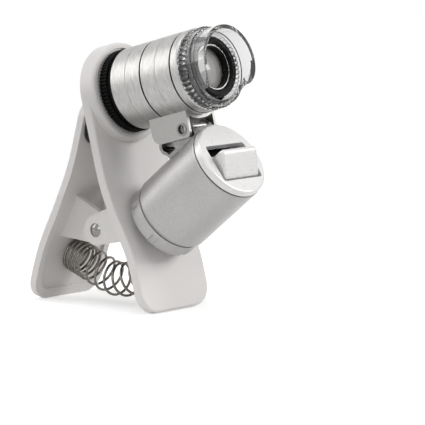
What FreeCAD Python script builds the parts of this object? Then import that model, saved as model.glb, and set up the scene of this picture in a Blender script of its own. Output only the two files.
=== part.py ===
import FreeCAD, Part
import math
import os
import Sketcher

# Clip-on phone microscope: a two-jaw spring clip carries a short barrel with a knurled
# focus wheel and a clear nose, and a lamp pod folds on a bracket under the barrel.
# It stands on the ends of its two handles. Millimetres, +Z up, X across the jaws,
# the barrel looks towards -Y and a little up.

V = FreeCAD.Vector
doc = FreeCAD.newDocument("phone_microscope")
sheet = doc.addObject("Spreadsheet::Sheet", "Sizes")

DRIVING_SIZES = {
    # front jaw, measured from the optical axis and the front face of its plate
    "jaw_lean": 15.0,
    "jaw_plate": 1.9,
    "jaw_breadth": 21.2,
    "jaw_edge_round": 0.45,
    "jaw_corner": 4.6,
    "jaw_reach": 47.0,
    "kick_start": 14.0,
    "kick_angle": 16.0,
    "kick_radius": 50.0,
    "kick_run": 3.1,
    "kick_return_radius": 29.0,
    "collar_rise": 2.0,
    "collar_round": 0.7,
    "dish_depth": 0.35,
    "dish_margin": 1.3,
    "shell_recess": 0.6,
    "shell_rim": 1.5,
    # rear jaw, measured from its tip
    "rear_lean": 10.0,
    "rear_tip_breadth": 17.4,
    "rear_tip_corner": 5.6,
    "rear_taper_end": 22.0,
    "rear_kick_start": 11.3,
    "rear_kick_angle": 18.0,
    "rear_kick_radius": 47.0,
    "rear_kick_run": 4.5,
    "rear_return_angle": 12.0,
    "rear_return_radius": 47.0,
    "rear_pivot_drop": 27.8,
    "rear_pivot_front": 8.0,
    # ears and pivot
    "pivot_drop": 27.4,
    "pivot_back": 8.4,
    "ear_boss": 3.2,
    "ear_plate": 1.35,
    "front_ear_inside": 6.0,
    "ear_side_gap": 0.25,
    "front_ear_top": 23.0,
    "front_ear_bottom": 31.2,
    "rear_ear_top": 22.3,
    "rear_ear_bottom": 32.2,
    "pin_bore": 1.0,
    "pin_running_gap": 0.06,
    "pin_head": 1.5,
    "pin_head_rise": 0.55,
    # coil spring between the handles
    "spring_coil": 3.5,
    "spring_wire": 0.28,
    "spring_turns": 11.0,
    "spring_sag": 1.5,
    "seat_boss": 3.0,
    "seat_boss_rise": 1.6,
    "front_seat_drop": 38.6,
    "rear_seat_drop": 36.6,
    # rubber pad on the rear jaw
    "pad_length": 15.0,
    "pad_breadth": 11.0,
    "pad_rise": 1.0,
    "pad_from_tip": 3.2,
    "pad_corner": 3.5,
    # barrel
    "barrel_outer": 8.75,
    "barrel_wall": 0.9,
    "barrel_length": 19.2,
    "barrel_back_wall": 1.3,
    "barrel_chamfer": 0.3,
    "neck_outer": 5.8,
    "neck_wall": 0.8,
    "deep_groove": 0.3,
    "fine_groove": 0.12,
    "groove_first": 4.4,
    "groove_last": 2.05,
    "groove_count": 4,
    "deep_groove_width": 0.4,
    "fine_groove_width": 0.22,
    # focus wheel
    "wheel_outer": 8.85,
    "wheel_width": 2.8,
    "wheel_knurl_width": 1.9,
    "wheel_waist": 8.3,
    "wheel_end_gap": 0.08,
    "wheel_running_gap": 0.06,
    "wheel_teeth": 72,
    "wheel_tooth_depth": 0.28,
    # sliding lens tube and its optics
    "tube_running_gap": 0.08,
    "tube_wall": 0.75,
    "tube_back_inset": 1.0,
    "eyepiece_inset": 0.3,
    "eyepiece_thickness": 2.4,
    "eyepiece_curve": 9.0,
    "cell_outer": 6.4,
    "cell_length": 7.6,
    "cell_front": 27.1,
    "cell_socket": 2.7,
    "cell_bevel": 0.3,
    "cell_bore": 4.9,
    "cell_mouth_depth": 3.6,
    "ring_width": 0.5,
    "ring_thickness": 1.8,
    "objective_edge": 1.2,
    "objective_curve": 13.5,
    # clear nose
    "nose_outer": 7.95,
    "nose_wall": 0.85,
    "nose_length": 6.8,
    "nose_flange": 8.6,
    "nose_flange_width": 2.1,
    "nose_step": 8.3,
    "nose_step_width": 0.9,
    "nose_teeth": 48,
    "nose_tooth_depth": 0.3,
    "nose_spigot": 3.0,
    "window_half_breadth": 6.5,
    "window_depth": 3.6,
    "window_corner": 1.6,
    "window_flare": 1.9,
    # bracket under the barrel
    "bracket_sheet": 0.7,
    "bracket_half_breadth": 4.4,
    "bracket_start": 5.0,
    "bracket_length": 10.4,
    "bracket_bottom": 13.1,
    "bracket_rear_corner": 2.2,
    "bracket_front_corner": 0.9,
    "hinge_inset": 2.0,
    "hinge_below": 11.2,
    "rivet_outer": 1.15,
    "rivet_bore": 0.95,
    "rivet_bore_depth": 1.0,
    "rivet_flare": 1.35,
    "rivet_flare_rise": 0.1,
    "rivet_running_gap": 0.06,
    # lamp pod, measured back from its front face
    "fold_angle": 23.4,
    "hinge_to_front": 4.26,
    "hinge_above_axis": 10.47,
    "pod_outer": 8.7,
    "pod_wall": 0.85,
    "cap_outer": 8.5,
    "cap_thickness": 1.5,
    "cap_edge_gap": 0.3,
    "cap_round": 0.45,
    "cap_spigot": 1.8,
    "cap_spigot_wall": 0.8,
    "pod_shell_back": 20.3,
    "seal_wire": 0.35,
    "seal_centre": 8.0,
    "battery_cap_outer": 8.4,
    "battery_cap_length": 3.3,
    "battery_cap_floor": 1.5,
    "battery_cap_spigot": 2.6,
    "battery_cap_round": 0.5,
    "coin_slot_length": 11.0,
    "coin_slot_width": 1.5,
    "coin_slot_depth": 0.8,
    "grip_notches": 6,
    "grip_notch": 1.1,
    "slot_half_length": 6.0,
    "slot_top": 3.4,
    "slot_bottom": 5.1,
    "slider_half_length": 5.35,
    "slider_back": 0.9,
    "slider_foot": 4.7,
    "slider_rise": 2.8,
    "slider_crown": 1.0,
    "slider_gap": 0.12,
    "slider_round": 0.45,
    "slot_corner": 0.6,
    "tongue_sheet": 0.6,
    "tongue_overlap": 0.3,
    "tongue_margin": 0.9,
    "tongue_cut": 1.3,
    # inside the pod
    "cell_radius": 5.8,
    "cell_height": 3.05,
    "cell_side_gap": 0.1,
    "board_thickness": 0.8,
    "board_front": 5.8,
    "led_radius": 1.5,
    "led_tip": 2.4,
    "led_length": 3.1,
    "led_flange_thickness": 0.7,
    "led_leg": 0.25,
    "led_leg_pitch": 1.4,
    "led_offset": 3.4,
    "led_above": 2.2,
    "led_flange": 1.8,
    "led_plate_front": 3.7,
    "contact_wire": 0.25,
    "contact_coil": 4.4,
    "contact_turns": 4.0,
    "contact_tip": 1.6,
    # bracket on the pod
    "pod_ear_half_breadth": 3.4,
    "pod_ear_back": 9.0,
    "pod_ear_heel": 10.4,
    "pod_ear_boss": 1.7,
    "pod_saddle_back": 11.5,
    "pod_curl_above": 10.6,
    "pod_curl_back": 10.9,
    "pod_curl_outer": 1.8,
    "pod_curl_turn": 59.0,
    "pod_curl_lead": 1.0,
    "pod_web": 0.6,
    "pod_web_top": 9.9,
}

for row, (alias, number) in enumerate(DRIVING_SIZES.items(), start=1):
    sheet.set("A%d" % row, alias)
    sheet.set("B%d" % row, str(number))
    sheet.setAlias("B%d" % row, alias)
doc.recompute()


class Size:
    """A number from the sheet together with the expression that gives it."""

    def __init__(self, number, text):
        self.number = float(number)
        self.text = text

    def _join(self, other, sign, number):
        text = other.text if isinstance(other, Size) else repr(float(other))
        return Size(number, "(%s %s %s)" % (self.text, sign, text))

    def __add__(self, other):
        return self._join(other, "+", self.number + float(other))

    def __sub__(self, other):
        return self._join(other, "-", self.number - float(other))

    def __mul__(self, other):
        return self._join(other, "*", self.number * float(other))

    def __truediv__(self, other):
        return self._join(other, "/", self.number / float(other))

    def __neg__(self):
        return Size(-self.number, "(0 - %s)" % self.text)

    def __radd__(self, other):
        return Size(other, repr(float(other))) + self

    def __rsub__(self, other):
        return Size(other, repr(float(other))) - self

    def __rmul__(self, other):
        return self * other

    def __float__(self):
        return self.number


def size(alias):
    return Size(DRIVING_SIZES[alias], "Sizes." + alias)


def sine(angle):
    return Size(math.sin(math.radians(float(angle))), "sin(%s)" % angle.text)


def cosine(angle):
    return Size(math.cos(math.radians(float(angle))), "cos(%s)" % angle.text)


def root(square):
    return Size(math.sqrt(float(square)), "sqrt(%s)" % square.text)


def vector(across, up, ahead):
    return V(float(across), float(up), float(ahead))


def bind(thing, prop, amount):
    if isinstance(amount, Size):
        thing.setExpression(prop, amount.text)
    else:
        setattr(thing, prop, amount)


# Sketch and feature helpers

def new_body(name):
    body = doc.addObject("PartDesign::Body", name)
    body.Label = name
    return body


def new_sketch(body, role, name, lift=0.0):
    """A sketch on one of the body's own origin planes, lifted along its normal."""
    sketch = body.newObject("Sketcher::SketchObject", name)
    plane = [item for item in body.Origin.OriginFeatures if item.Role == role][0]
    sketch.AttachmentSupport = [(plane, "")]
    sketch.MapMode = "FlatFace"
    sketch.AttachmentOffset = FreeCAD.Placement(V(0, 0, float(lift)), FreeCAD.Rotation())
    if isinstance(lift, Size):
        sketch.setExpression("AttachmentOffset.Base.z", lift.text)
    return sketch


def pin_vertex(sketch, edge, end, spot):
    for kind, amount in zip(("DistanceX", "DistanceY"), spot):
        rule = Sketcher.Constraint(kind, -1, 1, edge, end, float(amount))
        index = sketch.addConstraint(rule)
        if isinstance(amount, Size):
            sketch.setExpression("Constraints[%d]" % index, amount.text)


def draw_loop(sketch, corners):
    """A closed loop. A corner is (x, y), or (x, y, centre_x, centre_y, radius, turn) where
    the edge that leaves it is an arc, with turn 1 anticlockwise and -1 clockwise."""
    first = sketch.GeometryCount
    count = len(corners)
    for index, corner in enumerate(corners):
        start = corner[:2]
        stop = corners[(index + 1) % count][:2]
        if len(corner) == 2:
            edge = Part.LineSegment(vector(*start, 0), vector(*stop, 0))
            sketch.addGeometry(edge)
            continue
        middle_x, middle_y, radius, turn = corner[2:]
        angles = [math.atan2(float(spot[1]) - float(middle_y), float(spot[0]) - float(middle_x))
                  for spot in (start, stop)]
        if turn < 0:
            angles.reverse()
        if angles[1] <= angles[0]:
            angles[1] += 2 * math.pi
        circle = Part.Circle(vector(middle_x, middle_y, 0), V(0, 0, 1), float(radius))
        edge_index = sketch.addGeometry(Part.ArcOfCircle(circle, *angles))
        index_rule = sketch.addConstraint(
            Sketcher.Constraint("Radius", edge_index, float(radius)))
        if isinstance(radius, Size):
            sketch.setExpression("Constraints[%d]" % index_rule, radius.text)
    for index, corner in enumerate(corners):
        after = (index + 1) % count
        leaves = 2 if len(corner) == 2 or corner[5] > 0 else 1
        enters = 1 if len(corners[after]) == 2 or corners[after][5] > 0 else 2
        sketch.addConstraint(Sketcher.Constraint(
            "Coincident", first + index, leaves, first + after, enters))
    for index, corner in enumerate(corners):
        begins = 1 if len(corner) == 2 or corner[5] > 0 else 2
        pin_vertex(sketch, first + index, begins, corner[:2])


def draw_circle(sketch, spot, radius):
    edge = sketch.addGeometry(Part.Circle(vector(*spot, 0), V(0, 0, 1), float(radius)))
    pin_vertex(sketch, edge, 3, spot)
    index = sketch.addConstraint(Sketcher.Constraint("Radius", edge, float(radius)))
    if isinstance(radius, Size):
        sketch.setExpression("Constraints[%d]" % index, radius.text)


def rectangle(left, bottom, right, top):
    return [(left, bottom), (right, bottom), (right, top), (left, top)]


def rounded_rectangle(half_x, bottom, top, corner):
    low = bottom + corner
    high = top - corner
    side = half_x - corner
    return [
        (-side, bottom), (side, bottom, side, low, corner, 1),
        (half_x, low), (half_x, high, side, high, corner, 1),
        (side, top), (-side, top, -side, high, corner, 1),
        (-half_x, high), (-half_x, low, -side, low, corner, 1),
    ]


def pad(body, sketch, length, name, midplane=False, backwards=False):
    feature = body.newObject("PartDesign::Pad", name)
    feature.Profile = sketch
    bind(feature, "Length", length)
    feature.Midplane = midplane
    feature.Reversed = backwards
    doc.recompute()
    return feature


def pocket(body, sketch, name, length=None, midplane=False, backwards=False):
    """A cut that must take something away. With no length it goes right through."""
    before = body.Shape.Volume
    feature = body.newObject("PartDesign::Pocket", name)
    feature.Profile = sketch
    if length is None:
        feature.Type = 1
    else:
        bind(feature, "Length", length)
    feature.Midplane = midplane
    feature.Reversed = backwards
    doc.recompute()
    if not body.Shape.Volume < before:
        raise RuntimeError("the cut %s in %s removes nothing" % (name, body.Label))
    return feature


def turned(name, corners):
    """A solid of revolution about its own Z axis; corners are (radius, height)."""
    body = new_body(name)
    sketch = new_sketch(body, "YZ_Plane", name + "_section")
    draw_loop(sketch, corners)
    feature = body.newObject("PartDesign::Revolution", name + "_turning")
    feature.Profile = sketch
    feature.ReferenceAxis = (sketch, ["V_Axis"])
    feature.Angle = 360
    doc.recompute()
    return body


def around_axis(body, feature, count, name):
    """Repeats a cut or a pad evenly about the body's Z axis."""
    pattern = body.newObject("PartDesign::PolarPattern", name)
    pattern.Originals = [feature]
    pattern.Axis = (feature.Profile[0], ["N_Axis"])
    pattern.Angle = 360
    bind(pattern, "Occurrences", count)
    body.Tip = pattern
    doc.recompute()
    return pattern


def round_edges(body, radius, name, chosen):
    names = ["Edge%d" % (index + 1)
             for index, edge in enumerate(body.Shape.Edges) if chosen(edge)]
    base = body.Tip
    feature = body.newObject("PartDesign::Fillet", name)
    feature.Base = (base, names)
    bind(feature, "Radius", radius)
    body.Tip = feature
    doc.recompute()
    return feature


def circle_edge(radius, height, tolerance=1e-3):
    """Chooses full or part circles about Z of one radius at one height."""
    def chosen(edge):
        curve = edge.Curve
        if not isinstance(curve, Part.Circle):
            return False
        return (abs(curve.Radius - float(radius)) < tolerance
                and abs(curve.Center.z - float(height)) < tolerance
                and math.hypot(curve.Center.x, curve.Center.y) < tolerance)
    return chosen


# Places of the main pieces, in a frame with its origin where the optical axis meets the
# front face of the front jaw's plate

def leaning(degrees):
    """Turns a piece's Z from straight up to a direction this far above level, facing -Y."""
    return FreeCAD.Rotation(V(1, 0, 0), 90.0 - float(degrees))


scope_turn = leaning(size("jaw_lean"))
scope_place = FreeCAD.Placement(V(0, 0, 0), scope_turn)
barrel_back = size("collar_rise") + size("wheel_width") + size("wheel_end_gap") * 2
barrel_front = barrel_back + size("barrel_length")
nose_rim = barrel_front + size("nose_length")

pivot_spot = scope_turn.multVec(V(0, -float(size("pivot_drop")), -float(size("pivot_back"))))
rear_turn = FreeCAD.Rotation(V(1, 0, 0), 90.0 + float(size("rear_lean")))
rear_pivot_local = V(0, -float(size("rear_pivot_drop")), float(size("rear_pivot_front")))
rear_place = FreeCAD.Placement(pivot_spot - rear_turn.multVec(rear_pivot_local), rear_turn)

hinge_ahead = (barrel_back + size("bracket_start") + size("bracket_length")
               - size("hinge_inset"))
hinge_spot = scope_turn.multVec(V(0, -float(size("hinge_below")), float(hinge_ahead)))
pod_turn = leaning(size("jaw_lean") + size("fold_angle"))
pod_hinge_local = V(0, float(size("hinge_above_axis")), -float(size("hinge_to_front")))
pod_place = FreeCAD.Placement(hinge_spot - pod_turn.multVec(pod_hinge_local), pod_turn)

PLACES = {}


def place(body, placement):
    PLACES[body.Label] = (body, placement)


# Shape of a jaw seen from the side: straight, kicked outwards, then eased back

class JawBend:
    """The side profile of a jaw plate. Drops are measured down from the local origin and
    sides along the outer face's normal, which points to +Z for side 1 and -Z for -1."""

    def __init__(self, side, start, angle, radius, run, back_angle, back_radius):
        self.side = side
        self.start = start
        self.angle = angle
        self.radius = radius
        self.back_radius = back_radius
        self.tail_angle = angle - back_angle
        self.first_drop = start + radius * sine(angle)
        self.first_side = radius - radius * cosine(angle)
        self.second_drop = self.first_drop + run * cosine(angle)
        self.second_side = self.first_side + run * sine(angle)
        self.centre_drop = self.second_drop + back_radius * sine(angle)
        self.centre_side = self.second_side - back_radius * cosine(angle)

    def tail_start(self, depth):
        """The second arc's end on the face that lies this far under the outer face."""
        radius = self.back_radius - depth
        return (self.centre_drop - radius * sine(self.tail_angle),
                self.centre_side + radius * cosine(self.tail_angle))

    def corners(self, top, tail, depth_out, depth_in):
        """The closed loop between two depths under the outer face, as (y, z) corners."""
        outer = self._face(top, tail, depth_out)
        inner = self._face(top, tail, depth_in)
        loop = []
        for index, (spot, arc) in enumerate(outer):
            loop.append(self._corner(spot, arc, 1))
        for index in range(len(inner) - 1, -1, -1):
            spot = inner[index][0]
            arc = inner[index - 1][1] if index else None
            loop.append(self._corner(spot, arc, -1))
        return loop

    def _face(self, top, tail, depth):
        first_centre = (self.start, self.radius)
        second_centre = (self.centre_drop, self.centre_side)
        wide = self.radius + depth
        tight = self.back_radius - depth
        tail_drop, tail_side = self.tail_start(depth)
        end_drop = tail_drop + tail * cosine(self.tail_angle)
        end_side = tail_side + tail * sine(self.tail_angle)
        return [
            ((-top, 0 - depth), None),
            ((self.start, 0 - depth), (first_centre, wide, 1)),
            ((self.first_drop + depth * sine(self.angle),
              self.first_side - depth * cosine(self.angle)), None),
            ((self.second_drop + depth * sine(self.angle),
              self.second_side - depth * cosine(self.angle)), (second_centre, tight, -1)),
            ((tail_drop, tail_side), None),
            ((end_drop, end_side), None),
        ]

    def _corner(self, spot, arc, travel):
        drop, side = spot
        here = (-drop, side * self.side)
        if arc is None:
            return here
        (centre_drop, centre_side), radius, turn = arc
        # going down the face, y runs backwards, so the sense of each arc flips with it
        sense = -turn * self.side * travel
        return here + (-centre_drop, centre_side * self.side, radius, sense)

    def at_drop(self, drop):
        """The outer face's side and slope in degrees at a drop on it, as plain numbers."""
        drop = float(drop)
        if drop <= float(self.start):
            return 0.0, 0.0
        if drop <= float(self.first_drop):
            slope = math.asin((drop - float(self.start)) / float(self.radius))
            return float(self.radius) * (1 - math.cos(slope)), math.degrees(slope)
        if drop <= float(self.second_drop):
            along = drop - float(self.first_drop)
            rise = along * math.tan(math.radians(float(self.angle)))
            return float(self.first_side) + rise, float(self.angle)
        tail_drop, tail_side = (float(amount) for amount in self.tail_start(0.0))
        if drop <= tail_drop:
            slope = math.asin((float(self.centre_drop) - drop) / float(self.back_radius))
            side = float(self.centre_side) + float(self.back_radius) * math.cos(slope)
            return side, math.degrees(slope)
        rise = (drop - tail_drop) * math.tan(math.radians(float(self.tail_angle)))
        return tail_side + rise, float(self.tail_angle)


front_bend = JawBend(1, size("kick_start"), size("kick_angle"), size("kick_radius"),
                     size("kick_run"), size("kick_angle"), size("kick_return_radius"))
rear_bend = JawBend(-1, size("rear_kick_start"), size("rear_kick_angle"),
                    size("rear_kick_radius"), size("rear_kick_run"),
                    size("rear_return_angle"), size("rear_return_radius"))

MID_X = "YZ_Plane"
FLAT = "XY_Plane"
BEYOND = 80.0


def jaw_layers(body, bend, top, tail, outline, window):
    """A bent plate: its rim layer is opened by the window before the skin is laid on it."""
    name = body.Label
    skin = size("jaw_plate") - size("shell_recess")
    rim = new_sketch(body, MID_X, name + "_rim_side")
    draw_loop(rim, bend.corners(top, tail, skin, size("jaw_plate")))
    pad(body, rim, size("jaw_breadth") * 1.2, name + "_rim", midplane=True)
    opening = new_sketch(body, FLAT, name + "_recess_outline")
    draw_loop(opening, window)
    pocket(body, opening, name + "_recess", BEYOND, midplane=True)
    face = new_sketch(body, MID_X, name + "_skin_side")
    draw_loop(face, bend.corners(top, tail, 0.0, skin))
    pad(body, face, size("jaw_breadth") * 1.2, name + "_skin", midplane=True)
    edge = new_sketch(body, FLAT, name + "_outline")
    draw_loop(edge, rectangle(-BEYOND, -BEYOND * 2, BEYOND, BEYOND))
    draw_loop(edge, outline)
    pocket(body, edge, name + "_trim", BEYOND, midplane=True)

    tail_drop = float(bend.tail_start(0.0)[0])

    def on_outer_outline(edge):
        middle = edge.valueAt((edge.FirstParameter + edge.LastParameter) / 2)
        side, slope = bend.at_drop(-middle.y)
        crosses = abs(middle.x) < 0.01 and float(bend.start) - 0.01 < -middle.y < tail_drop + 0.01
        return abs(middle.z - side * bend.side) < 0.01 and not crosses

    round_edges(body, size("jaw_edge_round"), name + "_edge_round", on_outer_outline)


def touch(outside, centre, radius, pick):
    """Where a line from a point touches a circle: the spot with the larger or smaller y."""
    away = [outside[0] - centre[0], outside[1] - centre[1]]
    square = away[0] ** 2 + away[1] ** 2
    along = radius ** 2 / square
    aside = radius * math.sqrt(square - radius ** 2) / square
    spots = [(centre[0] + along * away[0] - way * away[1],
              centre[1] + along * away[1] + way * away[0]) for way in (aside, -aside)]
    return pick(spots)


def add_ears(body, bend, inside, top_drop, bottom_drop, pivot, turn, bore):
    """Two mirrored ears from the plate's middle to a boss round the pivot, then the bore."""
    name = body.Label
    centre = [float(amount) for amount in pivot]
    boss = float(size("ear_boss"))
    roots = []
    for drop in (top_drop, bottom_drop):
        side, slope = bend.at_drop(drop)
        middle = side - float(size("jaw_plate")) / 2
        roots.append((-drop, middle * bend.side))
    high = touch([float(a) for a in roots[0]], centre, boss, max)
    low = touch([float(a) for a in roots[1]], centre, boss, min)
    loop = [roots[0], high + tuple(pivot) + (size("ear_boss"), turn), low, roots[1]]
    sketch = new_sketch(body, MID_X, name + "_ear_side", inside)
    draw_loop(sketch, loop)
    ear = pad(body, sketch, size("ear_plate"), name + "_ear")
    mirror(body, ear, name + "_ears")
    eye = new_sketch(body, MID_X, name + "_ear_bore")
    draw_circle(eye, pivot, bore)
    pocket(body, eye, name + "_ear_bores", BEYOND, midplane=True)


def mirror(body, feature, name):
    """Repeats a feature on the other side of the body's YZ plane."""
    copy = body.newObject("PartDesign::Mirrored", name)
    copy.Originals = [feature]
    plane = [item for item in body.Origin.OriginFeatures if item.Role == "YZ_Plane"][0]
    copy.MirrorPlane = (plane, [""])
    body.Tip = copy
    doc.recompute()
    return copy


def seat_on(bend, drop):
    """The recess floor at a drop and the direction square to it, in the jaw's own frame."""
    side, slope = bend.at_drop(drop)
    lean = math.radians(slope)
    inward = V(0, -math.sin(lean), -bend.side * math.cos(lean))
    skin = float(size("jaw_plate")) - float(size("shell_recess"))
    return V(0, -float(drop), side * bend.side) + inward * skin, inward


def add_seat(body, bend, drop):
    floor, inward = seat_on(bend, drop)
    sunk = float(size("jaw_plate")) / 3
    boss = body.newObject("PartDesign::AdditiveCylinder", body.Label + "_spring_seat")
    bind(boss, "Radius", size("seat_boss"))
    bind(boss, "Height", size("seat_boss_rise") + size("jaw_plate") / 3)
    turn = FreeCAD.Rotation(V(0, 0, 1), inward)
    boss.Placement = FreeCAD.Placement(floor - inward * sunk, turn)
    body.Tip = boss
    doc.recompute()
    top = floor + inward * float(size("seat_boss_rise"))

    def at_top(edge):
        return isinstance(edge.Curve, Part.Circle) and (edge.Curve.Center - top).Length < 0.01

    round_edges(body, size("seat_boss") / 6, body.Label + "_seat_round", at_top)


def front_jaw():
    """The front plate with the raised collar that the focus wheel turns against."""
    body = new_body("front_jaw")
    half = size("jaw_breadth") / 2
    reach = size("jaw_reach")
    corner = size("jaw_corner")
    outline = [
        (half, 0.0, 0.0, 0.0, half, 1), (0.0, half, 0.0, 0.0, half, 1), (-half, 0.0),
        (-half, corner - reach, corner - half, corner - reach, corner, 1),
        (corner - half, -reach), (half - corner, -reach, half - corner, corner - reach, corner, 1),
        (half, corner - reach),
    ]
    rim = size("shell_rim")
    window = rounded_rectangle(half - rim, rim - reach, rim - size("kick_start"), corner - rim)
    jaw_layers(body, front_bend, half, reach - front_bend.tail_start(0.0)[0], outline, window)

    collar = new_sketch(body, FLAT, "collar_circle", size("jaw_plate") / -2)
    draw_circle(collar, (0.0, 0.0), half)
    pad(body, collar, size("collar_rise") + size("jaw_plate") / 2, "collar")
    round_edges(body, size("collar_round"), "collar_lip", circle_edge(half, size("collar_rise")))
    dish = new_sketch(body, FLAT, "dish_circle", size("collar_rise"))
    draw_circle(dish, (0.0, 0.0), half - size("dish_margin"))
    pocket(body, dish, "dish", size("dish_depth"))
    bore = new_sketch(body, FLAT, "neck_bore_circle")
    draw_circle(bore, (0.0, 0.0), size("neck_outer"))
    pocket(body, bore, "neck_bore", BEYOND, midplane=True)

    pivot = (-size("pivot_drop"), -size("pivot_back"))
    add_ears(body, front_bend, size("front_ear_inside"), size("front_ear_top"),
             size("front_ear_bottom"), pivot, -1, size("pin_bore"))
    add_seat(body, front_bend, size("front_seat_drop"))
    place(body, scope_place)


def rear_tail():
    """The rear handle's length below its last bend, so both handles end at one level."""
    def lowest(jaw_turn, base, bend, length):
        heights = []
        for depth in (0.0, float(size("jaw_plate"))):
            drop, side = (float(amount) for amount in bend.tail_start(depth))
            lean = math.radians(float(bend.tail_angle))
            spot = V(0, -(drop + length * math.cos(lean)),
                     (side + length * math.sin(lean)) * bend.side)
            heights.append((base + jaw_turn.multVec(spot)).z)
        return min(heights)

    front_length = float(size("jaw_reach") - front_bend.tail_start(0.0)[0])
    floor = lowest(scope_turn, V(0, 0, 0), front_bend, front_length)
    none = lowest(rear_turn, rear_place.Base, rear_bend, 0.0)
    one = lowest(rear_turn, rear_place.Base, rear_bend, 1.0)
    return (floor - none) / (one - none)


def rear_jaw():
    body = new_body("rear_jaw")
    half = size("jaw_breadth") / 2
    tip_half = size("rear_tip_breadth") / 2
    tip_corner = size("rear_tip_corner")
    corner = size("jaw_corner")
    tail = rear_tail()
    inner_drop, inner_side = rear_bend.tail_start(size("jaw_plate"))
    reach = inner_drop + tail * cosine(rear_bend.tail_angle)
    outline = [
        (half, -size("rear_taper_end")),
        (tip_half, -tip_corner, tip_half - tip_corner, -tip_corner, tip_corner, 1),
        (tip_half - tip_corner, 0.0),
        (tip_corner - tip_half, 0.0, tip_corner - tip_half, -tip_corner, tip_corner, 1),
        (-tip_half, -tip_corner), (-half, -size("rear_taper_end")),
        (-half, corner - reach, corner - half, corner - reach, corner, 1),
        (corner - half, -reach), (half - corner, -reach, half - corner, corner - reach, corner, 1),
        (half, corner - reach),
    ]
    rim = size("shell_rim")
    top = -size("pad_from_tip") - size("pad_length") - rim * 1.5
    window = rounded_rectangle(half - rim, rim * 1.4 - reach, top, corner - rim)
    jaw_layers(body, rear_bend, 0.0, tail, outline, window)
    pivot = (-size("rear_pivot_drop"), size("rear_pivot_front"))
    inside = size("front_ear_inside") - size("ear_side_gap") - size("ear_plate")
    add_ears(body, rear_bend, inside, size("rear_ear_top"), size("rear_ear_bottom"), pivot, 1,
             size("pin_bore") + size("pin_running_gap"))
    add_seat(body, rear_bend, size("rear_seat_drop"))
    place(body, rear_place)


def rear_pad():
    """Rubber sheet that follows the rear jaw's inner face behind the phone."""
    body = new_body("rear_pad")
    sheet_side = new_sketch(body, MID_X, "pad_side")
    plate = size("jaw_plate")
    draw_loop(sheet_side, rear_bend.corners(0.0, 1.0, plate, plate + size("pad_rise")))
    pad(body, sheet_side, size("jaw_breadth"), "pad_sheet", midplane=True)
    edge = new_sketch(body, FLAT, "pad_outline")
    draw_loop(edge, rectangle(-BEYOND, -BEYOND * 2, BEYOND, BEYOND))
    top = -size("pad_from_tip")
    draw_loop(edge, rounded_rectangle(size("pad_breadth") / 2, top - size("pad_length"), top,
                                      size("pad_corner")))
    pocket(body, edge, "pad_trim", BEYOND, midplane=True)
    place(body, rear_place)


def across(spot):
    """A placement that lays a turned piece along X through a spot."""
    return FreeCAD.Placement(spot, FreeCAD.Rotation(V(0, 1, 0), 90.0))


def pivot_pin():
    reach = size("front_ear_inside") + size("ear_plate")
    shank = size("pin_bore")
    head = size("pin_head")
    rise = size("pin_head_rise")
    # each head is a shallow dome: the sphere through its rim and crown
    dome = (head * head + rise * rise) / (rise * 2)
    crown = reach + rise
    body = turned("pivot_pin", [
        (0.0, -crown, 0.0, dome - crown, dome, 1), (head, -reach), (shank, -reach),
        (shank, reach), (head, reach, 0.0, crown - dome, dome, 1), (0.0, crown),
    ])
    place(body, across(pivot_spot))


def swept_wire(name, points, wire):
    """Round wire along a smooth line through the points, made from Part functions."""
    line = Part.BSplineCurve()
    line.interpolate(points)
    spine = Part.Wire([line.toShape()])
    heading = line.tangent(line.FirstParameter)[0]
    ring = Part.Wire([Part.Circle(points[0], heading, wire).toShape()])
    coil = doc.addObject("Part::Feature", name)
    coil.Label = name
    coil.Shape = spine.makePipeShell([ring], True, True)
    return coil


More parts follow.
